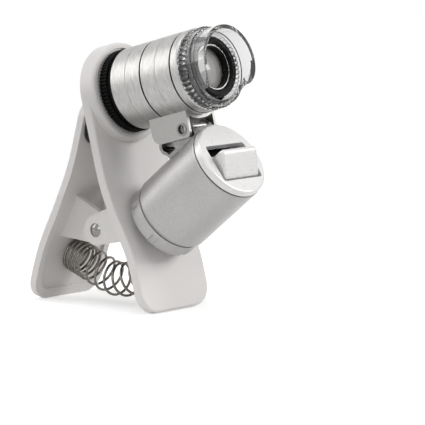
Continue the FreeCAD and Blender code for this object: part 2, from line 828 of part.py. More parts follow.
def clip_spring():
    """A close-ended coil along a sagging line between the two seats."""
    wire = float(size("spring_wire"))
    ends = []
    for base, bend, drop in ((scope_place, front_bend, size("front_seat_drop")),
                             (rear_place, rear_bend, size("rear_seat_drop"))):
        floor, inward = seat_on(bend, drop)
        heading = base.Rotation.multVec(inward)
        ends.append((base.multVec(floor) + heading * (wire * 1.1), heading))
    (start, leaving), (stop, entering) = ends
    pull = float(size("spring_sag")) * (stop - start).Length
    samples = [k / 400.0 for k in range(401)]

    def centre(part):
        weight = (2 * part ** 3 - 3 * part ** 2 + 1, part ** 3 - 2 * part ** 2 + part,
                  3 * part ** 2 - 2 * part ** 3, part ** 3 - part ** 2)
        return (start * weight[0] + leaving * (pull * weight[1])
                + stop * weight[2] + entering * (-pull * weight[3]))

    spots = [centre(part) for part in samples]
    lengths = [0.0]
    for before, after in zip(spots, spots[1:]):
        lengths.append(lengths[-1] + (after - before).Length)
    total = lengths[-1]
    close_pitch = wire * 2.2
    front_turns, rear_turns = 1.0, 3.5
    free_turns = float(size("spring_turns")) - front_turns - rear_turns
    knots = [(0.0, 0.0), (front_turns, close_pitch * front_turns),
             (front_turns + free_turns, total - close_pitch * rear_turns),
             (front_turns + free_turns + rear_turns, total)]

    def along(turns):
        for (turn_a, length_a), (turn_b, length_b) in zip(knots, knots[1:]):
            if turns <= turn_b + 1e-9:
                return length_a + (length_b - length_a) * (turns - turn_a) / (turn_b - turn_a)
        return total

    per_turn = 12
    count = int(knots[-1][0] * per_turn)
    coil = float(size("spring_coil"))
    points = []
    for step in range(count + 1):
        turns = step / per_turn
        target = along(turns)
        index = min(range(len(lengths)), key=lambda k: abs(lengths[k] - target))
        low = max(0, min(index if lengths[index] <= target else index - 1, len(lengths) - 2))
        share = (target - lengths[low]) / (lengths[low + 1] - lengths[low])
        middle = spots[low] + (spots[low + 1] - spots[low]) * share
        tangent = (spots[low + 1] - spots[low]).normalize()
        rising = tangent.cross(V(1, 0, 0)).normalize()
        angle = 2 * math.pi * turns
        points.append(middle + V(1, 0, 0) * (coil * math.cos(angle))
                      + rising * (coil * math.sin(angle)))
    spring = swept_wire("clip_spring", points, wire)
    place(spring, FreeCAD.Placement())


# Barrel and focus wheel, all turned about the optical axis

def grooved_wall(outer, start):
    """The barrel's outer wall from its back to its front with rings cut in it."""
    wall = []
    count = int(DRIVING_SIZES["groove_count"])
    pitch = (size("barrel_length") - size("groove_first") - size("groove_last")) / (count - 1)
    for index in range(count):
        deep = index % 2 == 1
        depth = size("deep_groove") if deep else size("fine_groove")
        width = size("deep_groove_width") if deep else size("fine_groove_width")
        middle = start + size("groove_first") + pitch * index
        wall += [(outer, middle - width / 2), (outer - depth, middle - width / 2),
                 (outer - depth, middle + width / 2), (outer, middle + width / 2)]
    return wall


def barrel():
    outer = size("barrel_outer")
    inner = outer - size("barrel_wall")
    neck = size("neck_outer")
    neck_inner = neck - size("neck_wall")
    plate = size("jaw_plate")
    edge = size("barrel_chamfer")
    body = turned("barrel", [
        (neck_inner, -plate), (neck, -plate), (neck, barrel_back), (outer - edge, barrel_back),
        (outer, barrel_back + edge)] + grooved_wall(outer, barrel_back) + [
        (outer, barrel_front - edge), (outer - edge, barrel_front), (inner, barrel_front),
        (inner, barrel_back + size("barrel_back_wall")),
        (neck_inner, barrel_back + size("barrel_back_wall")),
    ])
    place(body, scope_place)


def cut_teeth(body, radius, depth, count, start, width, name):
    """Notches along a rim, each a narrow V, repeated round the axis."""
    half = radius * math.pi / count * 0.8
    notch = new_sketch(body, FLAT, name + "_notch", start)
    draw_loop(notch, [(radius - depth, 0.0), (radius + depth / 4, -half), (radius + depth / 4, half)])
    cut = pocket(body, notch, name + "_cut", width, backwards=True)
    around_axis(body, cut, count, name)


def focus_wheel():
    start = size("collar_rise") + size("wheel_end_gap")
    finish = start + size("wheel_width")
    waist = start + size("wheel_knurl_width")
    bore = size("neck_outer") + size("wheel_running_gap")
    outer = size("wheel_outer")
    body = turned("focus_wheel", [
        (bore, start), (outer, start), (outer, waist), (size("wheel_waist"), waist),
        (size("wheel_waist"), finish), (bore, finish),
    ])
    cut_teeth(body, outer, size("wheel_tooth_depth"), size("wheel_teeth"), start,
              size("wheel_knurl_width"), "wheel_knurl")
    place(body, scope_place)


def nose_shroud():
    """Clear nose: a toothed flange, a step and a tube open below for the lamp's light."""
    outer = size("nose_outer")
    inner = outer - size("nose_wall")
    start = barrel_front
    finish = nose_rim
    flange_end = start + size("nose_flange_width")
    step_end = flange_end + size("nose_step_width")
    spigot = size("barrel_outer") - size("barrel_wall")
    body = turned("nose_shroud", [
        (inner, start - size("nose_spigot")), (spigot, start - size("nose_spigot")),
        (spigot, start), (size("nose_flange"), start), (size("nose_flange"), flange_end),
        (size("nose_step"), flange_end), (size("nose_step"), step_end), (outer, step_end),
        (outer, finish), (inner, finish),
    ])
    cut_teeth(body, size("nose_flange"), size("nose_tooth_depth"), size("nose_teeth"), start,
              size("nose_flange_width"), "nose_teeth")
    window = new_sketch(body, "XZ_Plane", "light_window_outline")
    half = size("window_half_breadth")
    corner = size("window_corner")
    flare = size("window_flare")
    base = finish - size("window_depth")
    draw_loop(window, [
        (corner - half, base), (half - corner, base, half - corner, base + corner, corner, 1),
        (half, base + corner), (half, finish - flare, half + flare, finish - flare, flare, -1),
        (half + flare, finish), (half + flare, finish + corner),
        (-half - flare, finish + corner),
        (-half - flare, finish, -half - flare, finish - flare, flare, -1),
        (-half, finish - flare), (-half, base + corner, corner - half, base + corner, corner, 1)])
    pocket(body, window, "light_window", outer * 2, backwards=True)
    place(body, scope_place)


def tube_front():
    return size("cell_front") - size("cell_length") + size("cell_socket")


def tube_outer():
    return size("neck_outer") - size("neck_wall") - size("tube_running_gap")


def lens_tube():
    outer = tube_outer()
    back = size("tube_back_inset") - size("jaw_plate")
    inner = outer - size("tube_wall")
    body = turned("lens_tube", [
        (inner, back), (outer, back), (outer, tube_front()), (inner, tube_front())])
    place(body, scope_place)


def bow(curve, rim):
    """How far a spherical face stands out over its rim."""
    return curve - root(curve * curve - rim * rim)


def eyepiece_lens():
    rim = tube_outer() - size("tube_wall")
    curve = size("eyepiece_curve")
    back = size("tube_back_inset") - size("jaw_plate") + size("eyepiece_inset")
    front = back + size("eyepiece_thickness")
    rise = bow(curve, rim)
    body = turned("eyepiece_lens", [
        (0.0, back, 0.0, back + curve, curve, 1), (rim, back + rise),
        (rim, front - rise, 0.0, front - curve, curve, 1), (0.0, front),
    ])
    place(body, scope_place)


def lens_seat():
    return size("cell_front") - size("cell_mouth_depth")


def objective_cell():
    """The black holder on the front of the lens tube."""
    front = size("cell_front")
    back = front - size("cell_length")
    bevel = size("cell_bevel")
    throat = tube_outer() - size("tube_wall")
    body = turned("objective_cell", [
        (tube_outer(), back), (size("cell_outer"), back), (size("cell_outer"), front - bevel),
        (size("cell_outer") - bevel, front), (size("cell_bore") + bevel, front),
        (size("cell_bore"), front - bevel), (size("cell_bore"), lens_seat()),
        (throat, lens_seat()), (throat, tube_front()), (tube_outer(), tube_front()),
    ])
    place(body, scope_place)


def objective_lens():
    rim = size("cell_bore")
    clear = rim - size("ring_width")
    curve = size("objective_curve")
    shoulder = lens_seat() + size("objective_edge")
    middle = shoulder - root(curve * curve - clear * clear)
    body = turned("objective_lens", [
        (0.0, lens_seat()), (rim, lens_seat()), (rim, shoulder),
        (clear, shoulder, 0.0, middle, curve, 1), (0.0, middle + curve),
    ])
    place(body, scope_place)


def lens_retaining_ring():
    rim = size("cell_bore")
    start = lens_seat() + size("objective_edge")
    body = turned("lens_retaining_ring", [
        (rim - size("ring_width"), start), (rim, start), (rim, start + size("ring_thickness")),
        (rim - size("ring_width"), start + size("ring_thickness")),
    ])
    place(body, scope_place)


# Brackets and lamp pod

def saddle_spot(radius, half):
    """Where a circle about the axis meets an upright line, on its lower side."""
    return (half, -root(radius * radius - half * half))


def scope_bracket():
    body = new_body("scope_bracket")
    half = size("bracket_half_breadth")
    inner = half - size("bracket_sheet")
    radius = size("barrel_outer")
    under = radius + size("bracket_sheet")
    high = saddle_spot(radius, half)
    low = saddle_spot(under, inner)
    bottom = -size("bracket_bottom")
    start = barrel_back + size("bracket_start")
    finish = start + size("bracket_length")
    section = new_sketch(body, FLAT, "cheek_section", start)
    draw_loop(section, [
        (-high[0], high[1], 0.0, 0.0, radius, 1), high, (half, bottom), (inner, bottom),
        (low[0], low[1], 0.0, 0.0, under, -1), (-low[0], low[1]), (-inner, bottom),
        (-half, bottom),
    ])
    pad(body, section, size("bracket_length"), "cheeks")

    def corner_at(height):
        def chosen(edge):
            ends = [vertex.Point for vertex in edge.Vertexes]
            return len(ends) == 2 and all(
                abs(end.y - float(bottom)) < 0.01 and abs(end.z - float(height)) < 0.01
                for end in ends)
        return chosen

    round_edges(body, size("bracket_rear_corner"), "cheek_rear_corners", corner_at(start))
    round_edges(body, size("bracket_front_corner"), "cheek_front_corners", corner_at(finish))
    eye = new_sketch(body, MID_X, "rivet_hole_circle")
    draw_circle(eye, (-size("hinge_below"), hinge_ahead), size("rivet_outer"))
    pocket(body, eye, "rivet_holes", BEYOND, midplane=True)
    place(body, scope_place)


def bracket_pin():
    """Semi-tubular rivet through both brackets, flared outside the cheeks."""
    reach = size("bracket_half_breadth")
    flare = reach + size("rivet_flare_rise")
    deep = flare - size("rivet_bore_depth")
    bore, outer, lip = size("rivet_bore"), size("rivet_outer"), size("rivet_flare")
    body = turned("bracket_pin", [
        (0.0, -deep), (bore, -deep), (bore, -flare), (lip, -flare), (lip, -reach),
        (outer, -reach), (outer, reach), (lip, reach), (lip, flare), (bore, flare),
        (bore, deep), (0.0, deep),
    ])
    place(body, across(hinge_spot))


def curl_outline(foot):
    """The rolled rear end of the pod's sheet bracket, seen from its side."""
    up, back = size("pod_curl_above"), -size("pod_curl_back")
    outer = size("pod_curl_outer")
    inner = outer - size("bracket_sheet")
    down, away = sine(size("pod_curl_turn")), cosine(size("pod_curl_turn"))
    lead = back + size("pod_curl_lead")
    heel = -size("pod_saddle_back")
    return [
        (up + outer, back, up, back, outer, -1), (up - down * outer, back - away * outer),
        (foot, heel), (foot, heel + size("bracket_sheet")),
        (up - down * inner, back - away * inner, up, back, inner, 1), (up + inner, back),
        (up + inner, lead), (up + outer, lead)]


def pod_bracket():
    """Sheet bracket on the pod: a front web, two ears round the rivet and a rolled end."""
    body = new_body("pod_bracket")
    half = size("pod_ear_half_breadth")
    inner = half - size("bracket_sheet")
    radius = size("pod_outer")
    over = radius + size("bracket_sheet")
    curl = new_sketch(body, MID_X, "pod_curl_side")
    draw_loop(curl, curl_outline(root(radius * radius - half * half) - size("bracket_sheet")))
    pad(body, curl, half * 2, "pod_curl", midplane=True)
    seat = new_sketch(body, FLAT, "pod_curl_seat")
    draw_circle(seat, (0.0, 0.0), radius)
    pocket(body, seat, "pod_curl_trim", BEYOND, midplane=True)
    saddle = new_sketch(body, FLAT, "pod_saddle_section", -size("pod_saddle_back"))
    edge_low, edge_high = (root(reach * reach - half * half) for reach in (radius, over))
    draw_loop(saddle, [
        (-half, edge_low, 0.0, 0.0, radius, -1), (half, edge_low),
        (half, edge_high, 0.0, 0.0, over, 1), (-half, edge_high)])
    pad(body, saddle, size("pod_saddle_back") - size("pod_ear_back"), "pod_saddle")
    boss = size("pod_ear_boss")
    pin_y = size("hinge_above_axis")
    pin_z = -size("hinge_to_front")
    top = pin_y + boss
    front = pin_z + boss
    back = -size("pod_ear_back")
    high = (inner, root(over * over - inner * inner))
    low = (half, root(radius * radius - half * half))
    section = new_sketch(body, FLAT, "pod_ear_section", back)
    draw_loop(section, [
        (-low[0], low[1], 0.0, 0.0, radius, -1), low, (half, top), (inner, top),
        (high[0], high[1], 0.0, 0.0, over, 1), (-high[0], high[1]), (-inner, top), (-half, top),
    ])
    pad(body, section, front - back, "pod_ears")
    heel = (float(size("pod_ear_heel")), float(back))
    hub = (float(pin_y), float(pin_z))
    meet = touch(heel, hub, float(boss), max)
    side = new_sketch(body, MID_X, "pod_ear_side")
    draw_loop(side, [
        (pin_y, front, pin_y, pin_z, boss, -1), meet, (size("pod_ear_heel"), back),
        (top + boss, back), (top + boss, front + boss), (pin_y, front + boss)])
    pocket(body, side, "pod_ear_trim", BEYOND, midplane=True)
    web = new_sketch(body, FLAT, "pod_web_outline", front)
    draw_loop(web, [
        (-high[0], high[1], 0.0, 0.0, over, -1), high, (inner, size("pod_web_top")),
        (-inner, size("pod_web_top"))])
    pad(body, web, size("pod_web"), "pod_web", backwards=True)
    eye = new_sketch(body, MID_X, "pod_rivet_hole_circle")
    draw_circle(eye, (pin_y, pin_z), size("rivet_outer") + size("rivet_running_gap"))
    pocket(body, eye, "pod_rivet_holes", BEYOND, midplane=True)
    place(body, pod_place)


def pod_shell():
    outer = size("pod_outer")
    inner = outer - size("pod_wall")
    front = -(size("cap_thickness") + size("cap_edge_gap"))
    back = -size("pod_shell_back")
    edge = size("barrel_chamfer") / 2
    body = turned("pod_shell", [
        (inner, back), (outer - edge, back), (outer, back + edge), (outer, front - edge),
        (outer - edge, front), (inner, front)])
    place(body, pod_place)


def pod_front_cap():
    body = new_body("pod_front_cap")
    bore = size("pod_outer") - size("pod_wall")
    inner = bore - size("cap_spigot_wall")
    depth = size("cap_thickness")
    section = new_sketch(body, MID_X, "cap_section")
    draw_loop(section, [
        (0.0, -depth), (inner, -depth), (inner, -depth - size("cap_spigot")),
        (bore, -depth - size("cap_spigot")), (bore, -depth), (size("cap_outer"), -depth),
        (size("cap_outer"), 0.0), (0.0, 0.0)])
    feature = body.newObject("PartDesign::Revolution", "cap_turning")
    feature.Profile = section
    feature.ReferenceAxis = (section, ["V_Axis"])
    feature.Angle = 360
    doc.recompute()
    round_edges(body, size("cap_round"), "cap_edge", circle_edge(size("cap_outer"), 0.0))
    slot = new_sketch(body, FLAT, "switch_slot_outline")
    half = size("slot_half_length")
    draw_loop(slot, rounded_rectangle(half, -size("slot_bottom"), size("slot_top"),
                                      size("slot_corner")))
    pocket(body, slot, "switch_slot", depth)
    place(body, pod_place)


def switch_slider():
    """Thumb slider: a ramp with a steep side towards the barrel and a tongue behind."""
    body = new_body("switch_slider")
    depth = size("cap_thickness") + size("slider_gap")
    rise = size("slider_rise")
    back = size("slider_back")
    side = new_sketch(body, MID_X, "slider_side")
    draw_loop(side, [
        (-size("slider_foot"), -depth), (back, -depth), (back, rise),
        (back - size("slider_crown"), rise), (-size("slider_foot"), 0.0)])
    pad(body, side, size("slider_half_length") * 2, "slider_block", midplane=True)

    def above_foot(edge):
        return max(vertex.Point.z for vertex in edge.Vertexes) > -float(depth) + 0.01

    round_edges(body, size("slider_round"), "slider_edges", above_foot)
    tongue = new_sketch(body, FLAT, "tongue_outline", -depth)
    wide = size("slot_half_length") + size("tongue_overlap")
    foot = -size("slot_bottom") - size("tongue_overlap")
    narrow = wide * 2 / 3
    crown = back + size("tongue_margin")
    draw_loop(tongue, [
        (-narrow, foot), (narrow, foot), (wide, foot / 2), (wide, crown - size("tongue_cut")),
        (wide - size("tongue_cut"), crown), (size("tongue_cut") - wide, crown),
        (-wide, crown - size("tongue_cut")), (-wide, foot / 2)])
    pad(body, tongue, size("tongue_sheet"), "slider_tongue", backwards=True)
    place(body, pod_place)


def battery_cap():
    outer = size("battery_cap_outer")
    bore = size("pod_outer") - size("pod_wall")
    wall = size("cap_spigot_wall")
    seat = -size("pod_shell_back") - size("seal_wire") * 2
    back = seat - size("battery_cap_length")
    neck = size("seal_centre") - size("seal_wire")
    thread = -size("pod_shell_back")
    tip = thread + size("battery_cap_spigot")
    floor = back + size("battery_cap_floor")
    body = turned("battery_cap", [
        (0.0, back), (outer, back), (outer, seat), (neck, seat), (neck, thread), (bore, thread),
        (bore, tip), (bore - wall, tip), (bore - wall, floor), (0.0, floor),
    ])
    round_edges(body, size("battery_cap_round"), "battery_cap_edge", circle_edge(outer, back))
    slot = new_sketch(body, FLAT, "coin_slot_outline", back)
    half_long, half_wide = size("coin_slot_length") / 2, size("coin_slot_width") / 2
    draw_loop(slot, rectangle(-half_long, -half_wide, half_long, half_wide))
    pocket(body, slot, "coin_slot", size("coin_slot_depth"), backwards=True)
    notch = new_sketch(body, FLAT, "grip_notch_circle", back)
    draw_circle(notch, (0.0, outer + size("grip_notch") * 0.6), size("grip_notch"))
    cut = pocket(body, notch, "grip_notch_cut", size("battery_cap_length") * 0.7,
                 backwards=True)
    around_axis(body, cut, size("grip_notches"), "grip_notches")
    place(body, pod_place)


def o_ring():
    body = new_body("o_ring")
    section = new_sketch(body, MID_X, "seal_section")
    draw_circle(section, (size("seal_centre"), -size("pod_shell_back") - size("seal_wire")),
                size("seal_wire"))
    feature = body.newObject("PartDesign::Revolution", "seal_turning")
    feature.Profile = section
    feature.ReferenceAxis = (section, ["V_Axis"])
    feature.Angle = 360
    doc.recompute()
    place(body, pod_place)


# Inside the lamp pod, from the front to the back

LAMPS = (("white_led", -1), ("uv_led", 1))


def lamp_flange_front():
    return size("led_tip") + size("led_length") - size("led_flange_thickness")


def led_holder():
    """The plate that carries both lamps behind the switch slot."""
    body = new_body("led_holder")
    bore = size("pod_outer") - size("pod_wall")
    front = -size("led_plate_front")
    disc = new_sketch(body, FLAT, "led_plate_circle", front)
    draw_circle(disc, (0.0, 0.0), bore)
    pad(body, disc, lamp_flange_front() - size("led_plate_front"), "led_plate", backwards=True)
    eyes = new_sketch(body, FLAT, "led_eyes", front)
    for name, way in LAMPS:
        draw_circle(eyes, (size("led_offset") * way, size("led_above")), size("led_radius"))
    pocket(body, eyes, "led_holes", size("led_length"))
    place(body, pod_place)


def led(name, way):
    radius = size("led_radius")
    length = size("led_length")
    flange = size("led_flange_thickness")
    dome = length - radius
    body = turned(name, [
        (0.0, 0.0), (size("led_flange"), 0.0), (size("led_flange"), flange), (radius, flange),
        (radius, dome, 0.0, dome, radius, 1), (0.0, length),
    ])
    legs = new_sketch(body, FLAT, name + "_leg_circles")
    for side in (-1, 1):
        draw_circle(legs, (size("led_leg_pitch") / 2 * side, 0.0), size("led_leg"))
    pad(body, legs, size("board_front") - size("led_tip") - length, name + "_legs",
        backwards=True)
    spot = vector(size("led_offset") * way, size("led_above"), -(size("led_tip") + length))
    place(body, pod_place.multiply(FreeCAD.Placement(spot, FreeCAD.Rotation())))


def circuit_board():
    body = new_body("circuit_board")
    disc = new_sketch(body, FLAT, "board_circle", -size("board_front"))
    draw_circle(disc, (0.0, 0.0), size("pod_outer") - size("pod_wall"))
    pad(body, disc, size("board_thickness"), "board", backwards=True)
    place(body, pod_place)


def stack_front():
    return -size("board_front") - size("board_thickness")


def battery_holder():
    outer = size("pod_outer") - size("pod_wall")
    inner = size("cell_radius") + size("cell_side_gap")
    front = stack_front()
    back = front - size("cell_height") * 3
    body = turned("battery_holder", [
        (inner, back), (outer, back), (outer, front), (inner, front)])
    place(body, pod_place)


def button_cell(index):
    """A button cell with its smaller cap to the front."""
    radius = size("cell_radius")
    height = size("cell_height")
    lid = radius * 0.84
    step = height * 0.08
    body = turned("button_cell_%d" % index, [
        (0.0, 0.0), (radius, 0.0), (radius, height - step * 2), (radius - step, height - step),
        (lid, height - step), (lid, height), (0.0, height),
    ])
    spot = vector(0.0, 0.0, stack_front() - height * index)
    place(body, pod_place.multiply(FreeCAD.Placement(spot, FreeCAD.Rotation())))


def contact_spring():
    """Conical coil between the battery cap and the last cell."""
    wire = float(size("contact_wire"))
    floor = -float(size("pod_shell_back") + size("seal_wire") * 2 + size("battery_cap_length")
                   - size("battery_cap_floor"))
    top = float(stack_front() - size("cell_height") * 3)
    wide = float(size("contact_coil"))
    narrow = float(size("contact_tip"))
    steps = int(float(size("contact_turns")) * 12)
    points = []
    for step in range(steps + 1):
        part = step / steps
        angle = math.radians(30.0 * step)
        radius = wide + (narrow - wide) * part
        height = floor + wire + (top - floor - wire * 2) * part
        points.append(V(radius * math.cos(angle), radius * math.sin(angle), height))
    place(swept_wire("contact_spring", points, wire), pod_place)


def build():
    for make in (front_jaw, rear_jaw, rear_pad, pivot_pin, clip_spring, barrel, focus_wheel,
                 nose_shroud, lens_tube, eyepiece_lens, objective_cell, objective_lens,
                 lens_retaining_ring, scope_bracket, bracket_pin, pod_bracket, pod_shell,
                 pod_front_cap, switch_slider, battery_cap, o_ring, led_holder):
        make()
    for name, way in LAMPS:
        led(name, way)
    circuit_board()
    battery_holder()
    for index in (1, 2, 3):
        button_cell(index)
    contact_spring()


def stand_on_origin():
    """Moves everything so the origin is under the middle of the whole, on the floor."""
    for piece, placement in PLACES.values():
        piece.Placement = placement
    doc.recompute()
    total = FreeCAD.BoundBox()
    for piece, placement in PLACES.values():
        total.add(piece.Shape.optimalBoundingBox(False, False))
    shift = V(-(total.XMin + total.XMax) / 2, -(total.YMin + total.YMax) / 2, -total.ZMin)
    for piece, placement in PLACES.values():
        piece.Placement = FreeCAD.Placement(placement.Base + shift, placement.Rotation)
    doc.recompute()
    return total, shift


def check_and_export():
    for thing in doc.Objects:
        if "Invalid" in thing.State or "Error" in thing.State:
            raise RuntimeError("%s: %s" % (thing.Label, thing.State))
    os.makedirs("parts", exist_ok=True)
    for name, (piece, placement) in PLACES.items():
        shape = piece.Shape
        if shape.isNull() or not shape.isValid() or not shape.Solids:
            raise RuntimeError("%s has no good solid" % name)
        shape.exportStep("parts/%s.step" % name)


build()
whole, moved = stand_on_origin()
check_and_export()
print("overall %.2f x %.2f x %.2f mm" % (whole.XLength, whole.YLength, whole.ZLength))
print("%d pieces, origin moved by (%.3f, %.3f, %.3f)" % (len(PLACES), moved.x, moved.y, moved.z))
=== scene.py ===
import math

import bmesh
import bpy
from mathutils import Matrix, Vector


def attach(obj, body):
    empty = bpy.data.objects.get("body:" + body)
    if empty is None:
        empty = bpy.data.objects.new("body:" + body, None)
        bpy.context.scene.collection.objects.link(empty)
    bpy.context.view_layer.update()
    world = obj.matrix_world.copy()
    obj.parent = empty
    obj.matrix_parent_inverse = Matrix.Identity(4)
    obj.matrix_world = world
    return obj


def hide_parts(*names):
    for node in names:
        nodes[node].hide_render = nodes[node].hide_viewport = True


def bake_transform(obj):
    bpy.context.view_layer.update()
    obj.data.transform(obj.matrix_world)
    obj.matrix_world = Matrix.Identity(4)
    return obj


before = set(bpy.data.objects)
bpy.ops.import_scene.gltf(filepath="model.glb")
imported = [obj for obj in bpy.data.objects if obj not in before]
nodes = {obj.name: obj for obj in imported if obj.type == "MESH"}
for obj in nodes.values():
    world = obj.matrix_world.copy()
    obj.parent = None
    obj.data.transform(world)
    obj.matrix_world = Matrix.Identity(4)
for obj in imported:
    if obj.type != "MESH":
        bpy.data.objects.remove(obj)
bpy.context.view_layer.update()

# White jaws of the spring clip, injection-moulded in ABS. The mould was spark-eroded very
# finely, so the skin is satin, a little uneven in its gloss and soft at every edge.

MM = 0.001

# a noise texture mostly keeps between these two values
NOISE_LOW = 0.3
NOISE_HIGH = 0.7

# a Mix node's colour sockets share their names with others, so they go by number
COLOUR_A = 6
COLOUR_B = 7
COLOUR_OUT = 2


def colour(hexadecimal):
    """sRGB hex to the linear colour that a shader socket takes."""
    parts = [int(hexadecimal[k:k + 2], 16) / 255 for k in (0, 2, 4)]
    linear = [c / 12.92 if c <= 0.04045 else ((c + 0.055) / 1.055) ** 2.4 for c in parts]
    return (*linear, 1.0)


def add(tree, kind, values=None, links=None):
    """Adds a node, sets its sockets or properties, links its inputs, returns its outputs."""
    node = tree.nodes.new(kind)
    for key, value in (values or {}).items():
        if isinstance(key, int) or key in node.inputs:
            node.inputs[key].default_value = value
        else:
            setattr(node, key, value)
    for key, socket in (links or {}).items():
        tree.links.new(socket, node.inputs[key])
    return node.outputs


def new_finish(name, **sockets):
    """A material on a Principled shader, with the sockets set that stay even all over."""
    material = bpy.data.materials.new(name)
    material.use_nodes = True
    shader = material.node_tree.nodes["Principled BSDF"]
    for key, value in sockets.items():
        shader.inputs[key.replace("_", " ")].default_value = value
    return material


def drive(material, **sockets):
    """Links patterns into the material's shader."""
    shader = material.node_tree.nodes["Principled BSDF"]
    for key, socket in sockets.items():
        material.node_tree.links.new(socket, shader.inputs[key.replace("_", " ")])


def grain(material, size_mm, depth_mm, detail=3.0, strength=0.5):
    """A fine relief over the whole surface, with grains of about this size."""
    tree = material.node_tree
    place = add(tree, "ShaderNodeTexCoord")["Object"]
    noise = add(tree, "ShaderNodeTexNoise", {"Scale": 1 / (size_mm * MM), "Detail": detail},
                {"Vector": place})["Fac"]
    bump = add(tree, "ShaderNodeBump", {"Strength": strength, "Distance": depth_mm * MM},
               {"Height": noise})["Normal"]
    drive(material, Normal=bump)


def handled(material, patch_mm, smooth, rough):
    """Gloss that drifts in soft patches, as fingers leave it."""
    tree = material.node_tree
    place = add(tree, "ShaderNodeTexCoord")["Object"]
    noise = add(tree, "ShaderNodeTexNoise", {"Scale": 1 / (patch_mm * MM), "Detail": 2.0},
                {"Vector": place})["Fac"]
    spread = add(tree, "ShaderNodeMapRange", {"From Min": NOISE_LOW, "From Max": NOISE_HIGH,
                                              "To Min": smooth, "To Max": rough},
                 {"Value": noise})["Result"]
    drive(material, Roughness=spread)


def tinted(material, patch_mm, dark, pale):
    """A colour that drifts between two near shades over patches of this size."""
    tree = material.node_tree
    place = add(tree, "ShaderNodeTexCoord")["Object"]
    noise = add(tree, "ShaderNodeTexNoise", {"Scale": 1 / (patch_mm * MM), "Detail": 3.0},
                {"Vector": place})["Fac"]
    mix = add(tree, "ShaderNodeMix", {"data_type": "RGBA", COLOUR_A: colour(dark),
                                      COLOUR_B: colour(pale)}, {"Factor": noise})[COLOUR_OUT]
    drive(material, Base_Color=mix)


def dress(material, *names):
    """Gives CAD nodes their finish in place of the plain one they were packed with."""
    for name in names:
        nodes[name].data.materials.clear()
        nodes[name].data.materials.append(material)


# white ABS: a trace of light scattered under the skin softens its shadows, and the grain of
# the mould, drawn coarser than the real one so that it shows, keeps its highlights broad
white_abs = new_finish("white_abs", IOR=1.54, Subsurface_Weight=0.06,
                       Subsurface_Radius=(2.0 * MM, 1.8 * MM, 1.6 * MM))
tinted(white_abs, patch_mm=9.0, dark="DDDAD8", pale="E2DFDD")
grain(white_abs, size_mm=0.16, depth_mm=0.006)
handled(white_abs, patch_mm=6.0, smooth=0.38, rough=0.50)
dress(white_abs, "front_jaw", "rear_jaw")

# Rubber pad that the phone's back lies against, die-cut from black sheet and glued across
# the rear jaw's tip. Its edge is slightly rounded.

# cut sheet rubber: matt, with an open grain and a little dust that greys it in spots
sheet_rubber = new_finish("black_sheet_rubber", IOR=1.5)
tinted(sheet_rubber, patch_mm=1.2, dark="0D0D0D", pale="1A1A1A")
grain(sheet_rubber, size_mm=0.12, depth_mm=0.02)
handled(sheet_rubber, patch_mm=3.0, smooth=0.72, rough=0.88)

# the rear jaw's own frame: its origin at the tip, y up along the plate, z towards the phone
REAR_JAW = Matrix.Translation(Vector((0.0, 12.6921, 45.0034)) * MM) @ Matrix.Rotation(
    math.radians(100), 4, "X")
JAW_PLATE = 1.9 * MM
PAD_RISE = 1.0 * MM
PAD_HALF = 7.9 * MM
PAD_CORNER = 3.4 * MM
CORNER_STEPS = 10
EDGE_ROUND = 0.2 * MM
EDGE_STEPS = 4

# how far the pad's two long edges lie below the tip
PAD_TOP = 3.2 * MM
PAD_BOTTOM = 10.7 * MM


def put_in_scene(name, data):
    """An object for a mesh, curve, lamp or camera, at the origin of the scene."""
    piece = bpy.data.objects.new(name, data)
    bpy.context.scene.collection.objects.link(piece)
    return piece


form = bmesh.new()
rim = []
for side, end, inwards, start in ((1, -PAD_TOP, -1, 0), (-1, -PAD_TOP, -1, 90),
                                  (-1, -PAD_BOTTOM, 1, 180), (1, -PAD_BOTTOM, 1, 270)):
    centre = Vector((side * (PAD_HALF - PAD_CORNER), end + inwards * PAD_CORNER))
    for step in range(CORNER_STEPS + 1):
        turn = math.radians(start + 90 * step / CORNER_STEPS)
        flat = centre + PAD_CORNER * Vector((math.cos(turn), math.sin(turn)))
        rim.append(form.verts.new((flat.x, flat.y, JAW_PLATE)))
sheet = form.faces.new(rim)
raised = bmesh.ops.extrude_face_region(form, geom=[sheet])
lifted = [item for item in raised["geom"] if isinstance(item, bmesh.types.BMVert)]
bmesh.ops.translate(form, verts=lifted, vec=(0, 0, PAD_RISE))
crown = [edge for edge in form.edges if all(vert in lifted for vert in edge.verts)]
bmesh.ops.bevel(form, geom=crown, offset=EDGE_ROUND, segments=EDGE_STEPS, affect="EDGES",
                profile=0.5)
form.transform(REAR_JAW)
bmesh.ops.recalc_face_normals(form, faces=form.faces)
pad_mesh = bpy.data.meshes.new("phone_pad")
form.to_mesh(pad_mesh)
form.free()
pad_mesh.materials.append(sheet_rubber)
pad_mesh.shade_smooth()
phone_pad = put_in_scene("phone_pad", pad_mesh)
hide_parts("rear_pad")
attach(phone_pad, "clip_rear")

# Pivot pin, turned from steel with a shallow domed head, tumbled bright and pressed
# through both pairs of ears. Its dome mirrors the room in small.

# tumbled steel: a clear mirror, broken a little by the faint dents of the tumbling
pin_steel = new_finish("tumbled_pin_steel", Base_Color=colour("858483"), Metallic=1.0)
grain(pin_steel, size_mm=0.22, depth_mm=0.004)
handled(pin_steel, patch_mm=0.8, smooth=0.10, rough=0.24)
dress(pin_steel, "pivot_pin")

# Clip spring between the handles, coiled from 0.56 mm steel wire. Its first turn lies flat
# on the front seat, its last ones stand close together on the rear seat, and it bows
# downwards between the two.

